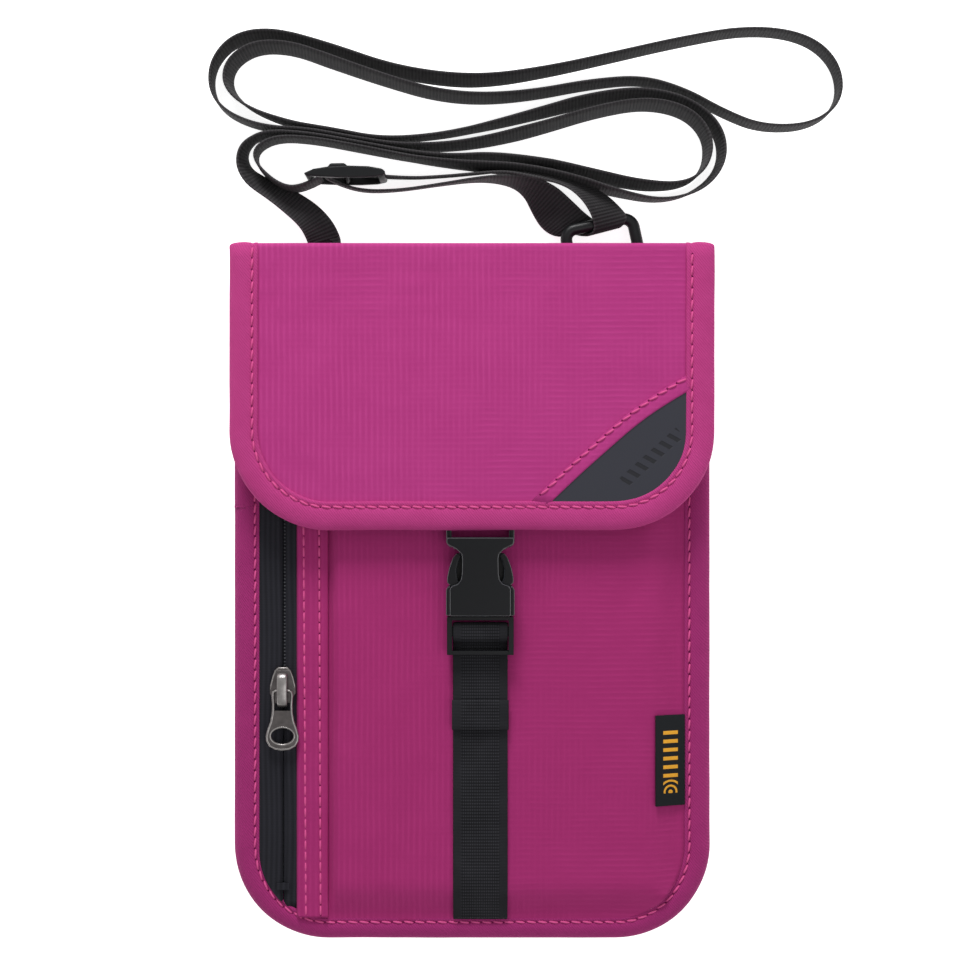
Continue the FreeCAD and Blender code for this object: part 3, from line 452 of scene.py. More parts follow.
def skin(rows, across):
    """Faces of a closed sheet: a grid of rows above, the same grid below it, and a rim that joins them."""
    n = across + 1
    total = rows * n
    faces = []
    for j in range(rows - 1):
        for i in range(across):
            a, b, c, d = j * n + i, j * n + i + 1, (j + 1) * n + i + 1, (j + 1) * n + i
            faces += [(a, b, c, d), (total + d, total + c, total + b, total + a)]
    rim = list(range(n)) + [j * n + n - 1 for j in range(1, rows)]
    rim += [(rows - 1) * n + i for i in reversed(range(n - 1))] + [j * n for j in reversed(range(1, rows - 1))]
    return faces + [(b, a, total + a, total + b) for a, b in zip(rim, rim[1:] + rim[:1])]


# Back panel and lining: the pouch's back is one sheet of the body's nylon, 1 mm thick, with a grey lining
# inside it and a shielding film between them. All are sewn into the binding round the edge.
def sheet_of(name, left, right, low, high, corners, top, thick, step=3.0):
    """A closed sheet with round lower corners: top gives its upper face's height at a point."""
    rows = []
    radius = max(corners)
    angles = [i * math.pi / 2 / 12 for i in range(13)]
    for a in angles if radius > 0.5 else [math.pi / 2]:
        rows.append(low + radius * (1 - math.cos(a)) if radius > 0.5 else low)
    count = max(2, int((high - rows[-1]) / step))
    start = rows[-1]
    rows += [start + (high - start) * (i + 1) / count for i in range(count)]
    across = max(4, int((right - left) / step))
    upper, lower = [], []
    for y in rows:
        ends = []
        for side, edge, r in ((1, left, corners[0]), (-1, right, corners[1])):
            dip = low + r - y
            ends.append(edge + side * (r - math.sqrt(max(0, r * r - dip * dip))) if dip > 0 else edge)
        for i in range(across + 1):
            share = 0.5 - 0.5 * math.cos(math.pi * i / across)
            share = 0.35 * share + 0.65 * i / across
            x = ends[0] + (ends[1] - ends[0]) * share
            z = top(x, y)
            upper.append((x, y, z))
            lower.append((x, y, z - thick))
    return solid(name, upper + lower, skin(len(rows), across))


def wave(x, y, size, seed):
    return noise.noise(Vector((x / size, y / size, seed)))


back = sheet_of("back_cloth", -71.5, 71.5, -104.5, 105.4, (27.5, 27.5), lambda x, y: 1.0 + 0.02 * wave(x, y, 30, 1), 0.95)
dress(back, body_cloth, "pouch", "body_cloth", "back_panel")
film = Finish("shield_foil", "B9BCC0", 0.35, metal=0.9)
film.bump(film.cloud(2.5, 3.0), 0.05, 0.4)
for node in ("back_shield_film", "front_shield_film"):
    keep(node, film)
grey = Finish("lining_grey", "6A6B70", 0.8, sheen=0.05, gloss=0.2)
grey.set("Base Color", grey.mix(grey.cloud(14, 3.0), colour("606166"), colour("727378")))
grey.bump(grey.x.ridges(0.5) * grey.y.ridges(0.5), 0.05, 0.5)
inside = sheet_of("back_lining_cloth", -63.2, 63.2, -97.6, 104.8, (19.5, 19.5), lambda x, y: 1.75, 0.48)
dress(inside, grey, "pouch", "lining_cloth", "back_lining")

# Body binding: a tape of pink twill folded over the left, bottom and right edges of the pouch.
# One row of thick stitches, 1.7 mm from its inner edge, sinks into the tape.
def border(half, low, high, radius, step=2.0):
    """Points down the left side, round both corners and up the right, each with its inward direction."""
    found = []
    count = int((high - low - radius) / step)
    for i in range(count):
        found.append((Vector((-half, high - (high - low - radius) * i / count, 0)), Vector((1, 0, 0))))
    for side in (1, -1):
        for i in range(25):
            a = math.pi / 2 * i / 24
            inward = Vector((math.cos(a), math.sin(a), 0)) if side > 0 else Vector((-math.sin(a), math.cos(a), 0))
            centre = Vector((-side * (half - radius), low + radius, 0))
            found.append((centre - inward * radius, inward))
        if side > 0:
            wide = 2 * (half - radius)
            steps = int(wide / step)
            found += [(Vector((-half + radius + wide * i / steps, low, 0)), Vector((0, 1, 0))) for i in range(1, steps)]
    found += [(Vector((half, low + radius + (high - low - radius) * i / count, 0)), Vector((-1, 0, 0)))
        for i in range(1, count + 1)]
    return found


def stitches(name, spots, body, slot, length=2.95, fat=0.36, holes=0.22):
    """Short fat threads, one mesh: each spot is (place, along, up) in millimetres."""
    points, faces = [], []
    rings = [(-1.0, 0.3), (-0.75, 0.85), (0, 1.0), (0.75, 0.85), (1.0, 0.3)]
    slots = []
    for place, along, up in spots:
        side = along.cross(up).normalized()
        base = len(points)
        for t, r in rings:
            for k in range(6):
                a = k * math.pi / 3
                lift = 0.18 * (1 - t * t)
                points.append(place + along * (t * length / 2) + (side * math.cos(a) + up * math.sin(a)) * (r * fat) + up * lift)
        for i in range(len(rings) - 1):
            for k in range(6):
                m = (k + 1) % 6
                faces.append((base + i * 6 + k, base + i * 6 + m, base + i * 6 + 6 + m, base + i * 6 + 6 + k))
        faces.append(tuple(base + k for k in reversed(range(6))))
        faces.append(tuple(base + 24 + k for k in range(6)))
        slots += [0] * 26
        # Past each stitch's end a small dark lump sits in the cloth for the needle hole; its dark colour is painted
        # shade in the hole.
        if holes:
            base = len(points)
            spot = place + along * (length / 2 + holes) - up * 0.02
            for lift, size in ((-0.4, 0.34), (0.0, 0.34), (0.08, 0.2)):
                points += [spot + side * (size * math.cos(k * math.pi / 3)) + along * (size * 0.7 * math.sin(k * math.pi / 3)) + up * lift for k in range(6)]
            for i in range(2):
                for k in range(6):
                    m = (k + 1) % 6
                    faces.append((base + i * 6 + k, base + i * 6 + m, base + i * 6 + 6 + m, base + i * 6 + 6 + k))
            faces.append(tuple(base + k for k in reversed(range(6))))
            faces.append(tuple(base + 12 + k for k in range(6)))
            slots += [1] * 14
    obj = outward(solid(name, points, faces))
    obj.data.materials.append(thread.made)
    obj.data.materials.append(hole_shade.made)
    obj.data.polygons.foreach_set("material_index", slots)
    settle(obj, body, slot)
    return obj


def spaced(path, gap, offset=0.0):
    """Points every gap millimetres along a path, with the path's direction there."""
    found, run, due = [], 0.0, offset
    for a, b in zip(path, path[1:]):
        length = (b - a).length
        while due <= run + length and length > 0:
            found.append((a.lerp(b, (due - run) / length), (b - a).normalized()))
            due += gap
        run += length
    return found


def sloping(path, gap, offset):
    """Spots for stitches along a path, each turned a little aslant."""
    return [(p, (d + d.cross(UP) * 0.14).normalized(), UP) for p, d in spaced(path, gap, offset)]


thread = Finish("pink_thread", "D04E8C", 0.65, gloss=0.3)
# Dark pink for the needle holes: painted shade in the holes.
hole_shade = Finish("needle_hole_painted_shade", "661440", 0.9, gloss=0.0)
# The body's binding tape is a darker copy of the flap's tape, one twill in two colours: the darker body tape is painted
# shade.
tape = twill("binding_tape", "982866", "8C2060", "A42F72")
BODY_SECTION = [(8.3, 4.3), (8.25, 4.75), (7.9, 5.05), (7.3, 5.05), (6.9, 4.86), (6.6, 4.66), (6.3, 4.86), (5.8, 5.1), (4.4, 5.2),
                (2.8, 4.95), (1.4, 4.45), (0.45, 3.6), (0.05, 2.6), (0.1, 1.5), (0.6, 0.55), (1.5, 0.08), (3, 0), (6.4, 0.0),
                (7.8, 0.02), (8.25, 0.2), (8.3, 0.6)]


def narrowed(inward):
    """How much of its width the tape keeps: all at the sides, less along the bottom."""
    return 1 - (1 - 6.8 / 8.3) * abs(inward.y) ** 2


around = border(73, -106, 105.5, 29)
stations = []
for place, inward in around:
    soft = 0.12 * wave(place.x, place.y, 14, 3)
    stations.append((place + inward * (0.25 + soft), inward * narrowed(inward),
        Vector((0, 0, 1 + 0.02 * wave(place.x, place.y, 8, 4)))))
bind = sweep("body_binding_tape", stations, BODY_SECTION)
dress(bind, tape, "pouch", "binding_twill", "body_binding")
line = [place + inward * (0.25 + 6.6 * narrowed(inward)) + Vector((0, 0, 4.86)) for place, inward in around]
stitches("body_binding_stitches", sloping(line, 3.4, 1.5), "pouch", "binding_twill")
seam = sweep("binding_join", [(Vector((x, 26.2, 0)) + Vector((0, 0, z)), Vector((0, 0.42, 0)), Vector((0, 0, 0.14)))
                              for x, z in ((-72.6, 3.6), (-71.6, 4.6), (-70, 5.05), (-68, 5.12), (-66.2, 4.95), (-65, 4.95))],
             [(1, 0), (0, 1), (-1, 0), (0, -1)])
dress(seam, tape, "pouch", "binding_twill")

# Pocket divider and mouth: a thin grey wall between the main pocket and the zip pocket,
# and the front panel's folded hem along the pocket's mouth.
def rise(x, y, left, right, low, inner_left, inner_right, inner_low):
    """How far a pocket's face has risen from its foot, from 0 to 1."""
    a = min(1, max(0, (x - left) / (inner_left - left)))
    b = min(1, max(0, (right - x) / (right - inner_right)))
    c = min(1, max(0, (y - low) / (inner_low - low)))
    share = min(a, b, c)
    return share * share * (3 - 2 * share)


divider = sheet_of("divider_cloth", -44, 63.2, -98, 97, (12, 20),
                   lambda x, y: 2.75 + 4.3 * rise(x, y, -44, 63.2, -98, -38.5, 51, -87), 0.5)
dress(divider, grey, "pouch", "lining_cloth", "pocket_divider")
hem = sheet_of("mouth_hem_cloth", -41, 54, 93.2, 97.2, (0, 0), lambda x, y: 9.05 + 0.1 * wave(x, y, 12, 5), 0.6)
dress(hem, body_cloth, "pouch", "body_cloth", "mouth_hem")

# Front panel: the body's nylon over the zip pocket, raised a few millimetres above the binding.
# It slopes down to the right edge and the bottom, with slight slack waves in the cloth.
def front_height(x, y):
    up = rise(x, y, -43.3, 64.6, -99.3, -41.1, 52, -88)
    return 5.0 + (3.45 + 0.16 * wave(x, y, 26, 6) + 0.10 * wave(x, y, 11, 7)) * up


front = sheet_of("front_cloth", -45, 64.6, -99.6, 97, (2, 21.8), front_height, 0.8, 2.0)
dress(front, body_cloth, "pouch", "body_cloth", "front_panel")

# Zip: two dark woven tapes with a groove between them, and the coil's small teeth beside it.
# Above the slider the tapes part; below it they meet in a fine closed line.
dark = Finish("zip_weave", "24242A", 0.8, gloss=0.15)
ribs = (dark.x + (dark.y * 0.11).sin() * 0.25).ridges(1.6) * 0.5 + 0.5
dark.set("Base Color", dark.mix(ribs * 0.5 + dark.cloud(10) * 0.4, colour("1A1A1F"), colour("2B2B32")))
dark.bump(ribs * 0.6 + dark.y.ridges(0.5) * 0.2, 0.10, 0.7)
for name, left, right, side in (("zip_tape_left", -64.8, -57.62, 1), ("zip_tape_right", -57.38, -44.6, -1)):
    def height(x, y, edge=right if side > 0 else left):
        near = abs(x - edge)
        tuck = 1.2 * min(1, max(0, (-94.3 - y) / 2.2))
        return 5.2 + 0.5 * math.exp(-((near - 1.3) / 0.9) ** 2) - 0.35 * math.exp(-(near / 0.45) ** 2) - tuck
    piece = sheet_of(name + "_cloth", left, right, -98.5 if side < 0 else -99, 96.5, (20 if side > 0 else 0, 0), height,
        0.6, 0.55)
    dress(piece, dark, "pouch", "zip_tape", name, name.replace("tape", "coil"))
teeth = []
for i in range(int((93.4 + 22.3) / 1.05)):
    teeth.append((Vector((-57.05, -22.0 + i * 1.05, 5.25)), Vector((1, 0, 0)), UP))
coil = Finish("zip_nylon", "33343A", 0.4)
row = stitches("zip_teeth", teeth, "pouch", "zip_coil", 0.75, 0.27, 0)
row.data.materials.clear()
row.data.materials.append(coil.made)

# Zip slider and pull: cast metal with a dark antique finish and worn bright edges.
# The slider has a rounded nose and two wings under a bridge; the pull has a raised rim and an oval eye.
nickel = Finish("antique_nickel", "585453", 0.4, metal=0.9)
nickel.set("Base Color", nickel.mix(nickel.cloud(2.0, 4.0), colour("403C3C"), colour("726D6C")))
nickel.set("Roughness", nickel.cloud(0.9, 3.0) * 0.25 + 0.28)
worn = Finish("worn_nickel", "9A9694", 0.34, metal=0.9)
worn.set("Base Color", worn.mix(worn.cloud(1.5, 3.0), colour("757170"), colour("B4B0AE")))


ZIP, EYE = -57.5, -43.2  # the zip's line in x, and the middle of the pull's eye in y


def mirrored(half, middle):
    """A closed outline from its right half, given upwards, about the line x = middle."""
    return [(middle + x, y) for x, y in half] + [(middle - x, y) for x, y in reversed(half)]


body = mirrored([(2.9, -33.4), (3.3, -31.2), (3.95, -30.4), (3.9, -28), (3.2, -25.4), (2.5, -23.4), (1.5, -22.4)], ZIP)
slider = moulding("zip_slider_body", [(body, 6.15, 7.0), (mirrored([(2.6, -33.0), (2.9, -28), (2.0, -23.4)], ZIP), 6.9,
    7.12)], 0.3, nickel)
settle(slider, "slider", "zip_metal", "zip_slider")
bow = []
for y, z in ((-24.3, 6.9), (-24.6, 8.2), (-25.6, 8.95), (-28, 9.1), (-31.5, 9.0), (-33.3, 8.6), (-34.0, 7.7), (-33.9, 6.9)):
    bow.append(Vector((0, y, z)))
stations = []
for i, p in enumerate(bow):
    ahead = heading(bow, i)
    stations.append((p + Vector((ZIP, 0, 0)), Vector((1.55, 0, 0)), ahead.cross(Vector((1, 0, 0))).normalized() * 0.42))
BAR = [(1, 0), (0.92, 0.6), (0.6, 0.95), (0, 1.05), (-0.6, 0.95), (-0.92, 0.6), (-1, 0), (-0.92, -0.6), (-0.6, -0.95),
    (0.6, -0.95), (0.92, -0.6)]
bridge = sweep("zip_bridge_bow", stations, BAR)
dress(bridge, worn, "slider", "zip_metal", "zip_bridge")
PULL = [(0, -47.3), (2.2, -47.0), (3.9, -46.1), (4.75, -44.6), (4.85, -43.2), (4.3, -41.2), (3.4, -38.9), (2.95, -36.5),
    (2.9, -35.5), (2.85, -33.5), (3.05, -31)]
lower, edge = [], []
turns = 40
outline = mirrored(PULL[1:9], ZIP)
for i in range(turns):
    a = 2 * math.pi * i / turns
    lower.append((ZIP + 3.55 * math.cos(a), EYE + 2.5 * math.sin(a)))
    x, y = math.cos(a), math.sin(a)
    best = 0
    loop = [(ZIP, -47.3)] + outline
    for (ax, ay), (bx, by) in zip(loop, loop[1:] + loop[:1]):
        ux, uy, wx, wy = ax - ZIP, ay - EYE, bx - ax, by - ay
        bottom = x * wy - y * wx
        if abs(bottom) > 1e-9:
            t, s = (ux * wy - uy * wx) / bottom, (ux * y - uy * x) / bottom
            if t > 0 and -1e-6 <= s <= 1 + 1e-6:
                best = max(best, t)
    edge.append((ZIP + x * best, EYE + y * best))
points = [(x, y, 8.15) for x, y in lower] + [(x, y, 8.15) for x, y in edge] + [(x, y, 7.25) for x,
    y in lower] + [(x, y, 7.25) for x, y in edge]
faces = []
for i in range(turns):
    j = (i + 1) % turns
    faces += [(i, turns + i, turns + j, j), (2 * turns + j, 3 * turns + j, 3 * turns + i, 2 * turns + i),
              (j, 2 * turns + j, 2 * turns + i, i), (turns + i, 3 * turns + i, 3 * turns + j, turns + j)]
plate = solid("pull_plate", points, faces, smooth=False)


def rim(name, outline, fat, z=7.7, tall=0.56, closed=True):
    """A round bead along an outline."""
    path = [Vector((x, y, z)) for x, y in outline]
    last, made = len(path) - 1, []
    for i in range(len(path) + closed):
        a, b = (i - 1, i + 1) if closed else (max(i - 1, 0), min(i + 1, last))
        ahead = (path[b % len(path)] - path[a % len(path)]).normalized()
        made.append((path[i % len(path)], Vector((-ahead.y, ahead.x, 0)) * fat, UP * tall))
    return sweep(name, made, [(math.cos(math.radians(a)), math.sin(math.radians(a))) for a in range(0, 360, 45)], caps=not closed)


ridge = rim("zip_slider_ridge", mirrored([(3.65, -29.2), (3.5, -27.8), (2.9, -25.4), (2.2, -23.6), (1.3, -22.75)], ZIP),
    0.24, 6.9, 0.16, False)
dress(ridge, worn, "slider", "zip_metal")


eye = rim("pull_eye", [(ZIP + 3.72 * math.cos(i * math.pi / 18), EYE + 2.68 * math.sin(i * math.pi / 18))
    for i in range(36)], 0.36)
legs = [(x * 0.955, y) for x, y in PULL]
outer = rim("pull_rim", [(ZIP + x, y) for x, y in legs[:-1]] + [(-54.6, -31), (-54.75, -29.9), (-55.4, -29.5),
    (-59.6, -29.5), (-60.25, -29.9), (-60.4, -31)]
            + [(ZIP - x, y) for x, y in reversed(legs[1:-1])], 0.42)
dress(plate, nickel, "pull", "zip_metal")
dress(eye, worn, "pull", "zip_metal")
dress(outer, worn, "pull", "zip_metal", "zip_pull")
for node in ("zip_stop_top", "zip_stop_bottom"):
    keep(node, dark)

# Guard strip: a folded band of the body's nylon beside the zip, sewn down with two rows of stitches.
# The rows lean a little towards its right edge as they run down.
strip = sheet_of("guard_cloth", -53.4, -43.8, -98.6, 96.5, (0, 0),
                 lambda x, y: 5.55 + 0.85 * min(1, (x + 53.4) / 0.9, (-43.8 - x) / 0.9 + 0.5) + 0.08 * wave(x, y, 9, 8)
                 - 0.28 * math.exp(-((x - (-51.1 + 0.006 * y)) / 0.5) ** 2) - 0.28 * math.exp(-((x - (-46.4 - 0.004 * y)) / 0.5) ** 2), 1.0, 0.7)
dress(strip, body_cloth, "pouch", "body_cloth", "guard_strip")
for name, top, low in (("outer", -51.7, -50.5), ("inner", -46.8, -46.05)):
    line = [Vector((top, 96, 6.2)), Vector((low, -98, 6.2))]
    stitches("guard_stitches_" + name, [(p, d, UP) for p, d in spaced(line, 3.3, 1.0)], "pouch", "body_cloth")

# Woven label: a folded near-black ribbon caught under the binding at the right.
# A plain woven pattern of gold bars stands where a maker would have words.
LABEL_Y = -50.65
label_line = [(64.7, 5.6), (62, 6.5), (59, 7.7), (56.6, 8.65), (55.9, 8.95), (55.55, 8.8), (55.6, 8.45), (56.4, 8.2),
    (60, 6.8), (64.7, 5.3)]
stations = []
smooth_line = smoothed([(x, 0, z) for x, z in label_line])
for i, p in enumerate(smooth_line):
    ahead = heading(smooth_line, i)
    stations.append((p + Vector((0, LABEL_Y, 0)), Vector((0, 1, 0)), ahead.cross(Vector((0, 1, 0)))))
LABEL_EDGE = [(13.75, 0), (13.7, 0.1), (13.5, 0.15), (0, 0.15), (-13.5, 0.15), (-13.7, 0.1), (-13.75, 0), (-13.7, -0.1),
    (-13.5, -0.15), (0, -0.15), (13.5, -0.15), (13.7, -0.1)]
label = sweep("label_ribbon", stations, LABEL_EDGE)
woven = Finish("label_weave", "1E2226", 0.75, gloss=0.2)
down = woven.y - LABEL_Y
across = woven.x - 60.2
bars = down.ridges(2.6).step(0.1, 0.35)
inner = 1 - abs(across).step(2.2, 2.4)
ends = 1 - abs(down).step(9.8, 10.0)
arcs = (across * across + (down + 9.5) * (down + 9.5)).sqrt().ridges(1.5).step(0.2, 0.4)
low_part = 1 - down.step(-5.6, -5.5)
gold = (bars * (1 - low_part) + arcs * low_part) * inner * ends
woven.set("Base Color", woven.mix(gold, colour("15181B"), colour("E0A030")))
woven.bump(woven.y.ridges(0.35) * 0.5 + gold, 0.05, 0.6)
dress(label, woven, "pouch", "label_weave", "woven_label")

# Flap: one sheet of nylon that comes up the back of the pouch as a narrow wall, turns over the fold
# and lies forward over the front, with round lower corners.
def flap_height(x, y):
    dip = 0.22 * (0.5 + 0.5 * wave(x, y, 24, 11)) + 0.12 * (0.5 + 0.5 * wave(x, y * 1.8, 9, 12))
    ripple = 0.10 * math.sin(y * 0.9 + 0.6 * math.sin(x * 0.09)) * max(0, min(1, (70 - abs(x + 25)) / 60)) * max(0,
        min(1, (y - 70) / 20))
    return 14.78 - dip + min(0, ripple)


radius = 21.3
rows = [(28.0 - 1.2 + (radius + 1.2) * (1 - math.cos(i * math.pi / 28)), None) for i in range(15)]
count = 34
start = rows[-1][0]
rows += [(start + (103.0 - start) * (i + 1) / count, None) for i in range(count)]
rows += [(103.9, math.radians(a)) for a in range(0, 91, 15)]
rows += [(z, "wall") for z in (12, 10.6, 9.4, 8.4)]
upper, lower = [], []
columns = 62
for y, kind in rows:
    dip = 28.0 + radius - y
    reach = 65.2
    if kind is None and dip > 0:
        reach = 65.2 - (radius + 1.2) + math.sqrt(max(0.0, (radius + 1.2) ** 2 - dip * dip))
    for i in range(columns + 1):
        x = -reach + 2 * reach * i / columns
        if kind is None:
            z = flap_height(x, y)
            near = max(0, min(1, (y - 96) / 7))
            z = z * (1 - near) + 14.75 * near
            upper.append((x, y, z))
            lower.append((x, y, z - 0.9))
        elif kind == "wall":
            upper.append((x, 105.48, y))
            lower.append((x, 104.55, y))
        else:
            upper.append((x, 103.9 + 1.57 * math.sin(kind), 13.2 + 1.55 * math.cos(kind)))
            lower.append((x, 103.9 + 0.65 * math.sin(kind), 13.2 + 0.65 * math.cos(kind)))
points, faces = upper + lower, skin(len(rows), columns)
BOX = ((0, 1, 2, 3), (7, 6, 5, 4), (4, 5, 1, 0), (5, 6, 2, 1), (6, 7, 3, 2), (7, 4, 0, 3))
for left, right, low in ((-64.6, -52, 1.75), (-52, -39, 3.3), (-39, 26, 1.75), (54.5, 64.6, 1.75)):
    k = len(points)
    points += [(left, 104.56, low), (right, 104.56, low), (right, 104.56, 8.6), (left, 104.56, 8.6),
               (left, 105.46, low), (right, 105.46, low), (right, 105.46, 8.6), (left, 105.46, 8.6)]
    faces += [tuple(k + m for m in f) for f in BOX]
flap = outward(solid("flap_cloth", points, faces))
# The flap's nylon is a lighter copy of the body's nylon: its extra brightness is painted light.
flap_cloth = cloth("flap_nylon", "B2377F", "AA3078", "C0428C", 0.9)
flap.data.materials.append(flap_cloth.made)
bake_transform(flap)
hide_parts("flap_panel", "flap_fold")
under = sheet_of("flap_lining_cloth", -64.8, 64.8, 27.2, 103.2, (22, 22), lambda x, y: 13.72, 0.5)
dress(under, grey, "flap", "lining_cloth", "flap_lining")

# Flap binding: the same twill tape round the flap's sides and lower corners, carried over the fold
# and down the wall on each side. Stitches run 1.7 mm from its inner edge.
FLAP_SECTION = [(8.7, 0.5), (8.7, 1.0), (8.4, 1.3), (7.8, 1.32), (7.3, 1.16), (7.0, 0.98), (6.7, 1.16), (6.2, 1.36), (4.8, 1.55),
                (3, 1.46), (1.6, 1.2), (0.6, 0.75), (0.08, 0.15), (0.05, -0.3), (0.5, -0.9), (1.4, -1.3), (3, -1.46),
                (5, -1.4), (7.4, -1.3), (8.4, -1.2), (8.7, -0.95)]
# The flap's tape is a lighter copy of the body's binding tape: its extra brightness is painted light.
flap_tape = twill("flap_tape", "B03478", "A62C6E", "C04388")
around = border(72.7, 19.3, 103.2, 30)
stations = []
over = [(math.radians(a), None) for a in (0, 18, 36, 54, 72, 90)] + [(math.radians(90), z) for z in (11.5, 9.6, 7.6, 5.6)]
for side in (-1, 1):
    ends = []
    for a, z in over:
        out = Vector((0, math.sin(a), math.cos(a)))
        centre = Vector((side * 72.7, 103.9, 13.2 if z is None else z)) + out * 0.8
        ends.append((centre, Vector((-side, 0, 0)), out * 0.72))
    if side < 0:
        stations += ends[::-1]
        for place, inward in around:
            soft = 0.14 * wave(place.x, place.y, 13, 13)
            stations.append((place + inward * soft + Vector((0, 0, 14.0)), inward,
                Vector((0, 0, 1 + 0.05 * wave(place.x, place.y, 9, 14)))))
    else:
        stations += ends
hemming = sweep("flap_binding_tape", stations, FLAP_SECTION)
hemming.data.materials.append(flap_tape.made)
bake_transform(hemming)
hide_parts("flap_binding")
line = [place + inward * 7.0 + Vector((0, 0, 15.12)) for place, inward in around]
stitches("flap_binding_stitches", sloping(line, 3.4, 0.8), "flap", "binding_twill")

# Corner patch: a slate rubbery panel in the flap's lower right corner, tucked under the binding.
# The flap's nylon is folded back along its slanting edge and sewn down with one row of stitches.
SLANT = [(66, 62.1), (58, 57.5), (49, 51.2), (40.1, 43.4), (31.1, 35.4), (22.9, 27.5)]
slant = smoothed([(x, y, 0) for x, y in SLANT])
edge = [Vector((65.2, 49.3, 0))] + [Vector((42.7 + 22.2 * math.cos(a), 49.3 + 22.2 * math.sin(a), 0))
    for a in [math.radians(-d) for d in range(5, 90, 5)]]
outline = slant + [Vector((24.5, 27.2, 0))] + edge[::-1]
tool = bmesh.new()
base = tool.faces.new([tool.verts.new((p.x * 0.001, p.y * 0.001, 0.0145)) for p in outline])
base.normal_update()
if base.normal.z < 0:
    base.normal_flip()
grown = bmesh.ops.extrude_face_region(tool, geom=[base])
bmesh.ops.translate(tool, vec=(0, 0, 0.0005), verts=[v for v in grown["geom"] if isinstance(v, bmesh.types.BMVert)])
bmesh.ops.recalc_face_normals(tool, faces=tool.faces)
mesh = bpy.data.meshes.new("corner_patch_rubber")
tool.to_mesh(mesh)
tool.free()
patch = bpy.data.objects.new("corner_patch_rubber", mesh)
scene.collection.objects.link(patch)
rubber = Finish("patch_rubber", "33343D", 0.6, gloss=0.3)
along = rubber.x * 0.745 + rubber.y * 0.667
athwart = rubber.y * 0.745 - rubber.x * 0.667
slats = (along + athwart * 0.35).ridges(3.2).step(0.15, 0.4)
band = along.step(56.0, 56.3) * (1 - along.step(78.6, 78.9)) * athwart.step(-7.2, -6.9) * (1 - athwart.step(-3.6, -3.3))
mark = slats * band
rubber.set("Base Color", rubber.mix(mark * 0.8 + rubber.cloud(0.5, 3.0) * 0.15, colour("30313A"), colour("1B1B20")))
rubber.bump(1 - mark * 0.9 + rubber.cloud(0.4, 3.0) * 0.25, 0.16, 0.8)
dress(patch, rubber, "flap", "patch_rubber", "corner_patch")
stations = []
for i, p in enumerate(slant):
    ahead = heading(slant, i)
    wide = Vector((ahead.y, -ahead.x, 0))
    stations.append((p + Vector((0, 0, 14.75)), wide, UP))
stations[0] = (Vector((65.0, 61.5, 14.75)), Vector((0, 1 / abs(stations[0][1].y), 0)), UP)
stations[-1] = (Vector((22.8, 27.3, 14.75)), Vector((-1 / abs(stations[-1][1].x), 0, 0)), UP)
FOLD_EDGE = [(-0.25, -0.3), (-0.3, 0.3), (-0.1, 0.52), (0.3, 0.58), (2.0, 0.5), (2.9, 0.38), (3.3, 0.24), (3.7, 0.16),
    (4.1, -0.15), (2, -0.3)]
lip = sweep("patch_fold_cloth", stations, FOLD_EDGE)
dress(lip, flap_cloth, "flap", "flap_cloth")
line = [Vector((p.x, p.y, 15.08)) + w.normalized() * 3.3 for p, w, _ in stations[1:-1]]
line = [line[0] + (line[0] - line[1]).normalized() * 1.2] + line + [line[-1] + (line[-1] - line[-2]).normalized() * 2.0]
stitches("patch_stitches", sloping(line, 3.3, 1.2), "flap", "flap_cloth")

# Buckle tab: a short length of black webbing from under the flap, doubled round the socket's rear bar.
# The webbing of the tab and of the buckle's long strap is the same, ribbed, with firm edges.
BUCKLE = 2.5  # the buckle's centre line in x
web = Finish("buckle_webbing", "1B1B1E", 0.85, gloss=0.15)
selvedge = abs(web.x - BUCKLE).step(5.6, 6.0)
ribbed = web.y.ridges(0.95) * 0.5 + 0.5
fine_ribs = web.x.ridges(0.7) * 0.5 + 0.5
web.set("Base Color", web.mix(ribbed * fine_ribs * 0.8 * (1 - selvedge) + web.cloud(8, 3.0) * 0.35 + selvedge * 0.2,
    colour("09090B"), colour("38383D")))
web.bump(ribbed * (1 - selvedge * 0.6) * 0.8 + fine_ribs * 0.35, 0.14, 0.8)


def webbing(name, route, half, thick, fine=8):
    """A flat strap whose route is given as (y, z) down the buckle's centre line."""
    path = smoothed([(BUCKLE, y, z) for y, z in route], fine)
    made = []
    for i, p in enumerate(path):
        ahead = heading(path, i)
        made.append((p, Vector((half, 0, 0)), ahead.cross(Vector((1, 0, 0))).normalized() * thick / 2))
    return sweep(name, made, [(1, 0), (0.99, 0.6), (0.95, 1), (0.66, 1), (0.33, 1), (0, 1), (-0.33, 1), (-0.66, 1),
        (-0.95, 1), (-0.99, 0.6),
                              (-1, 0), (-0.99, -0.6), (-0.95, -1), (-0.66, -1), (-0.33, -1), (0, -1), (0.33, -1),
                              (0.66, -1), (0.95, -1), (0.99, -0.6)])


tab_route = [(44, 12.0), (34, 11.9), (29, 11.8), (25.5, 12.2), (23.5, 12.25), (22.0, 11.9), (21.95, 10.7), (22.2, 9.4),
    (23.5, 9.1), (26, 9.6), (30, 10.6), (36, 11.1), (44, 11.2)]
buckle_tab = webbing("buckle_tab_webbing", tab_route, 8.0, 0.75)
dress(buckle_tab, web, "flap", "buckle_webbing", "buckle_tab")

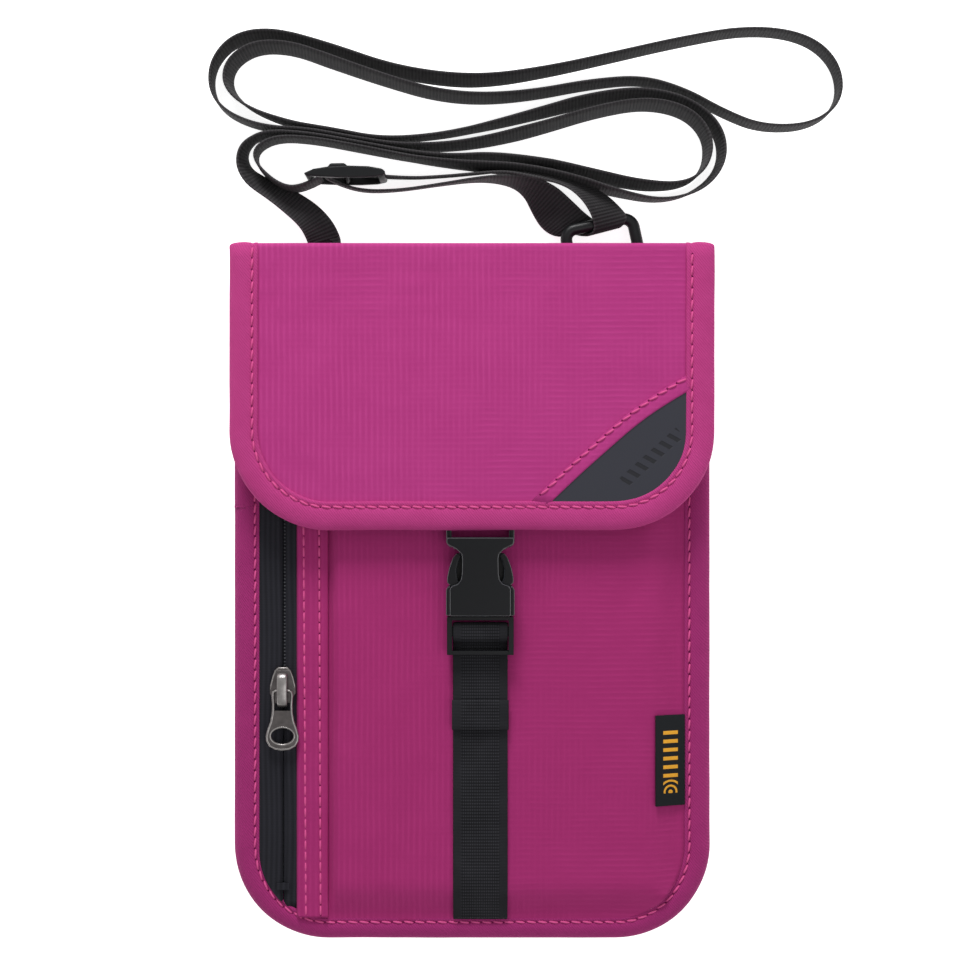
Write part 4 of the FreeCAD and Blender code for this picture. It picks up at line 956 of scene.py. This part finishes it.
# Side release buckle: a moulded socket on the tab and a plug on the long webbing, whose two arms bend
# inwards to let go. All four pieces keep their moulded shapes.
glossy = Finish("buckle_plastic", "0E0F12", 0.34, gloss=0.2)
# A lighter, glossier finish for the sloping bevel faces of the socket and the arms: a painted highlight along their
# edges.
painted_highlight = Finish("buckle_painted_highlight", "35373C", 0.22, gloss=1.0)
glossy.set("Roughness", glossy.cloud(0.9) * 0.15 + 0.24)
glossy.bump(glossy.cloud(0.3, 3.0), 0.02, 0.4)
SHELL = [(9.15, -6.3), (9.15, 1.7), (8.7, 2.7), (6.7, 3.4), (5.8, 4.6), (5.5, 6.4), (5.4, 10.8), (5.7, 12.4),
    (7.2, 13.8), (9.6, 15.0), (10.1, 15.6), (10.1, 17.2)]
shell = mirrored(SHELL, BUCKLE)
wall = [(9.0, -6.3), (10.25, -6.1), (10.25, 1.4), (9.7, 2.6), (9.0, 2.7)]
post = [(8.6, 13.9), (9.6, 14.6), (10.25, 15.4), (10.25, 25.0), (8.75, 25.0), (8.6, 17.0)]
base = mirrored([(9.15, -6.3), (9.15, 2.7), (7.8, 3.3), (7.5, 8), (6.5, 11), (6.2, 13.2), (9.6, 15.0), (10.1, 17.2)], BUCKLE)
slabs = [(shell, 14.1, 15.6), (base, 9.0, 10.2), (mirrored([(4.9, 12.4), (8.4, 14.2), (8.8, 17.0)], BUCKLE), 9.4, 14.9)]
for side in (1, -1):
    slabs += [([(BUCKLE + side * x, y) for x, y in wall][::side], 9.0, 15.1),
        ([(BUCKLE + side * x, y) for x, y in post][::side], 9.3, 12.4)]
socket = moulding("buckle_socket_shell", slabs, 0.45, glossy, painted_highlight)
bar = sweep("buckle_rear_bar", [(Vector((x, 23.5, 10.7)), Vector((0, 1, 0)), UP) for x in (-6.4, BUCKLE, 11.4)],
    [(x * 0.95, y * 0.95) for x, y in ROD])
bar.data.materials.append(glossy.made)
settle(socket, "flap", "buckle_plastic", "buckle_socket")
settle(bar, "flap", "buckle_plastic")
ARM = [(5.1, -5.2), (5.7, 1), (6.4, 3.4), (7.0, 5), (7.2, 7.5), (6.6, 10), (5.7, 11.6), (5.9, 12.4), (7.2, 12.4),
    (8.3, 10.9), (9.3, 8.2),
       (9.9, 5.5), (10.0, 3.7), (9.3, 3.0), (8.2, 1), (7.5, -5.2)]
for side, name in ((1, "right"), (-1, "left")):
    root = [(6.3 + 1.25 * x, -5.2 + 1.25 * y) for x, y in ROD]
    arm = moulding("plug_arm_" + name + "_prong", [([(BUCKLE + side * x, y) for x, y in shape][::side], 10.6, 13.95)
        for shape in (ARM, root)],
                   0.4, glossy, painted_highlight)
    settle(arm, "arm_" + name, "buckle_plastic", "plug_arm_" + name)
for node, body, slot, finish in (("buckle_plug", "plug", "buckle_plastic", glossy), ("d_ring", "ring", "ring_plastic", moulded)):
    copy = bpy.data.objects.new(node + "_moulded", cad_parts[node].data.copy())
    scene.collection.objects.link(copy)
    tool = bmesh.new()
    tool.from_mesh(copy.data)
    bmesh.ops.remove_doubles(tool, verts=tool.verts, dist=1e-6)
    bmesh.ops.dissolve_limit(tool, angle_limit=0.02, verts=tool.verts, edges=tool.edges)
    if node != "d_ring":
        sharp = [e for e in tool.edges if len(e.link_faces) == 2 and e.calc_face_angle() > 0.6]
        bmesh.ops.bevel(tool, geom=sharp, offset=0.00028, segments=2, profile=0.5, affect="EDGES", material=-1,
            clamp_overlap=True)
    tool.to_mesh(copy.data)
    tool.free()
    copy.data.materials.clear()
    dress(copy, finish, body, slot, node)

# Buckle webbing: sewn in at the bottom, it runs up under the front bar of the plug, round its foot bar
# and back down on itself, where the end is turned under and sewn across.
WEB = [(-99, 5.75), (-94, 7.4), (-89.2, 9.12), (-70, 9.17), (-50, 9.18), (-30, 9.18), (-18, 9.2), (-15.2, 9.25),
    (-12.5, 9.75), (-9.2, 10.1),
       (-8.6, 11.5), (-8.9, 13.3), (-11, 13.45), (-13.4, 13.3), (-14.2, 11.5), (-14.9, 10.3), (-17, 10.12),
       (-24, 10.08), (-32, 10.06), (-40.3, 10.05)]
strap = webbing("buckle_strap", WEB, 8.25, 0.75)
strap.data.materials.append(web.made)
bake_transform(strap)
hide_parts("buckle_webbing")
fold = webbing("webbing_hem_fold", [(-31.9, 10.75), (-34, 10.95), (-38, 10.95), (-40.2, 10.9), (-40.9, 10.5),
    (-40.4, 10.1)], 8.55, 0.7, 5)
fold.data.materials.append(web.made)
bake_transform(fold)
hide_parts("webbing_hem")
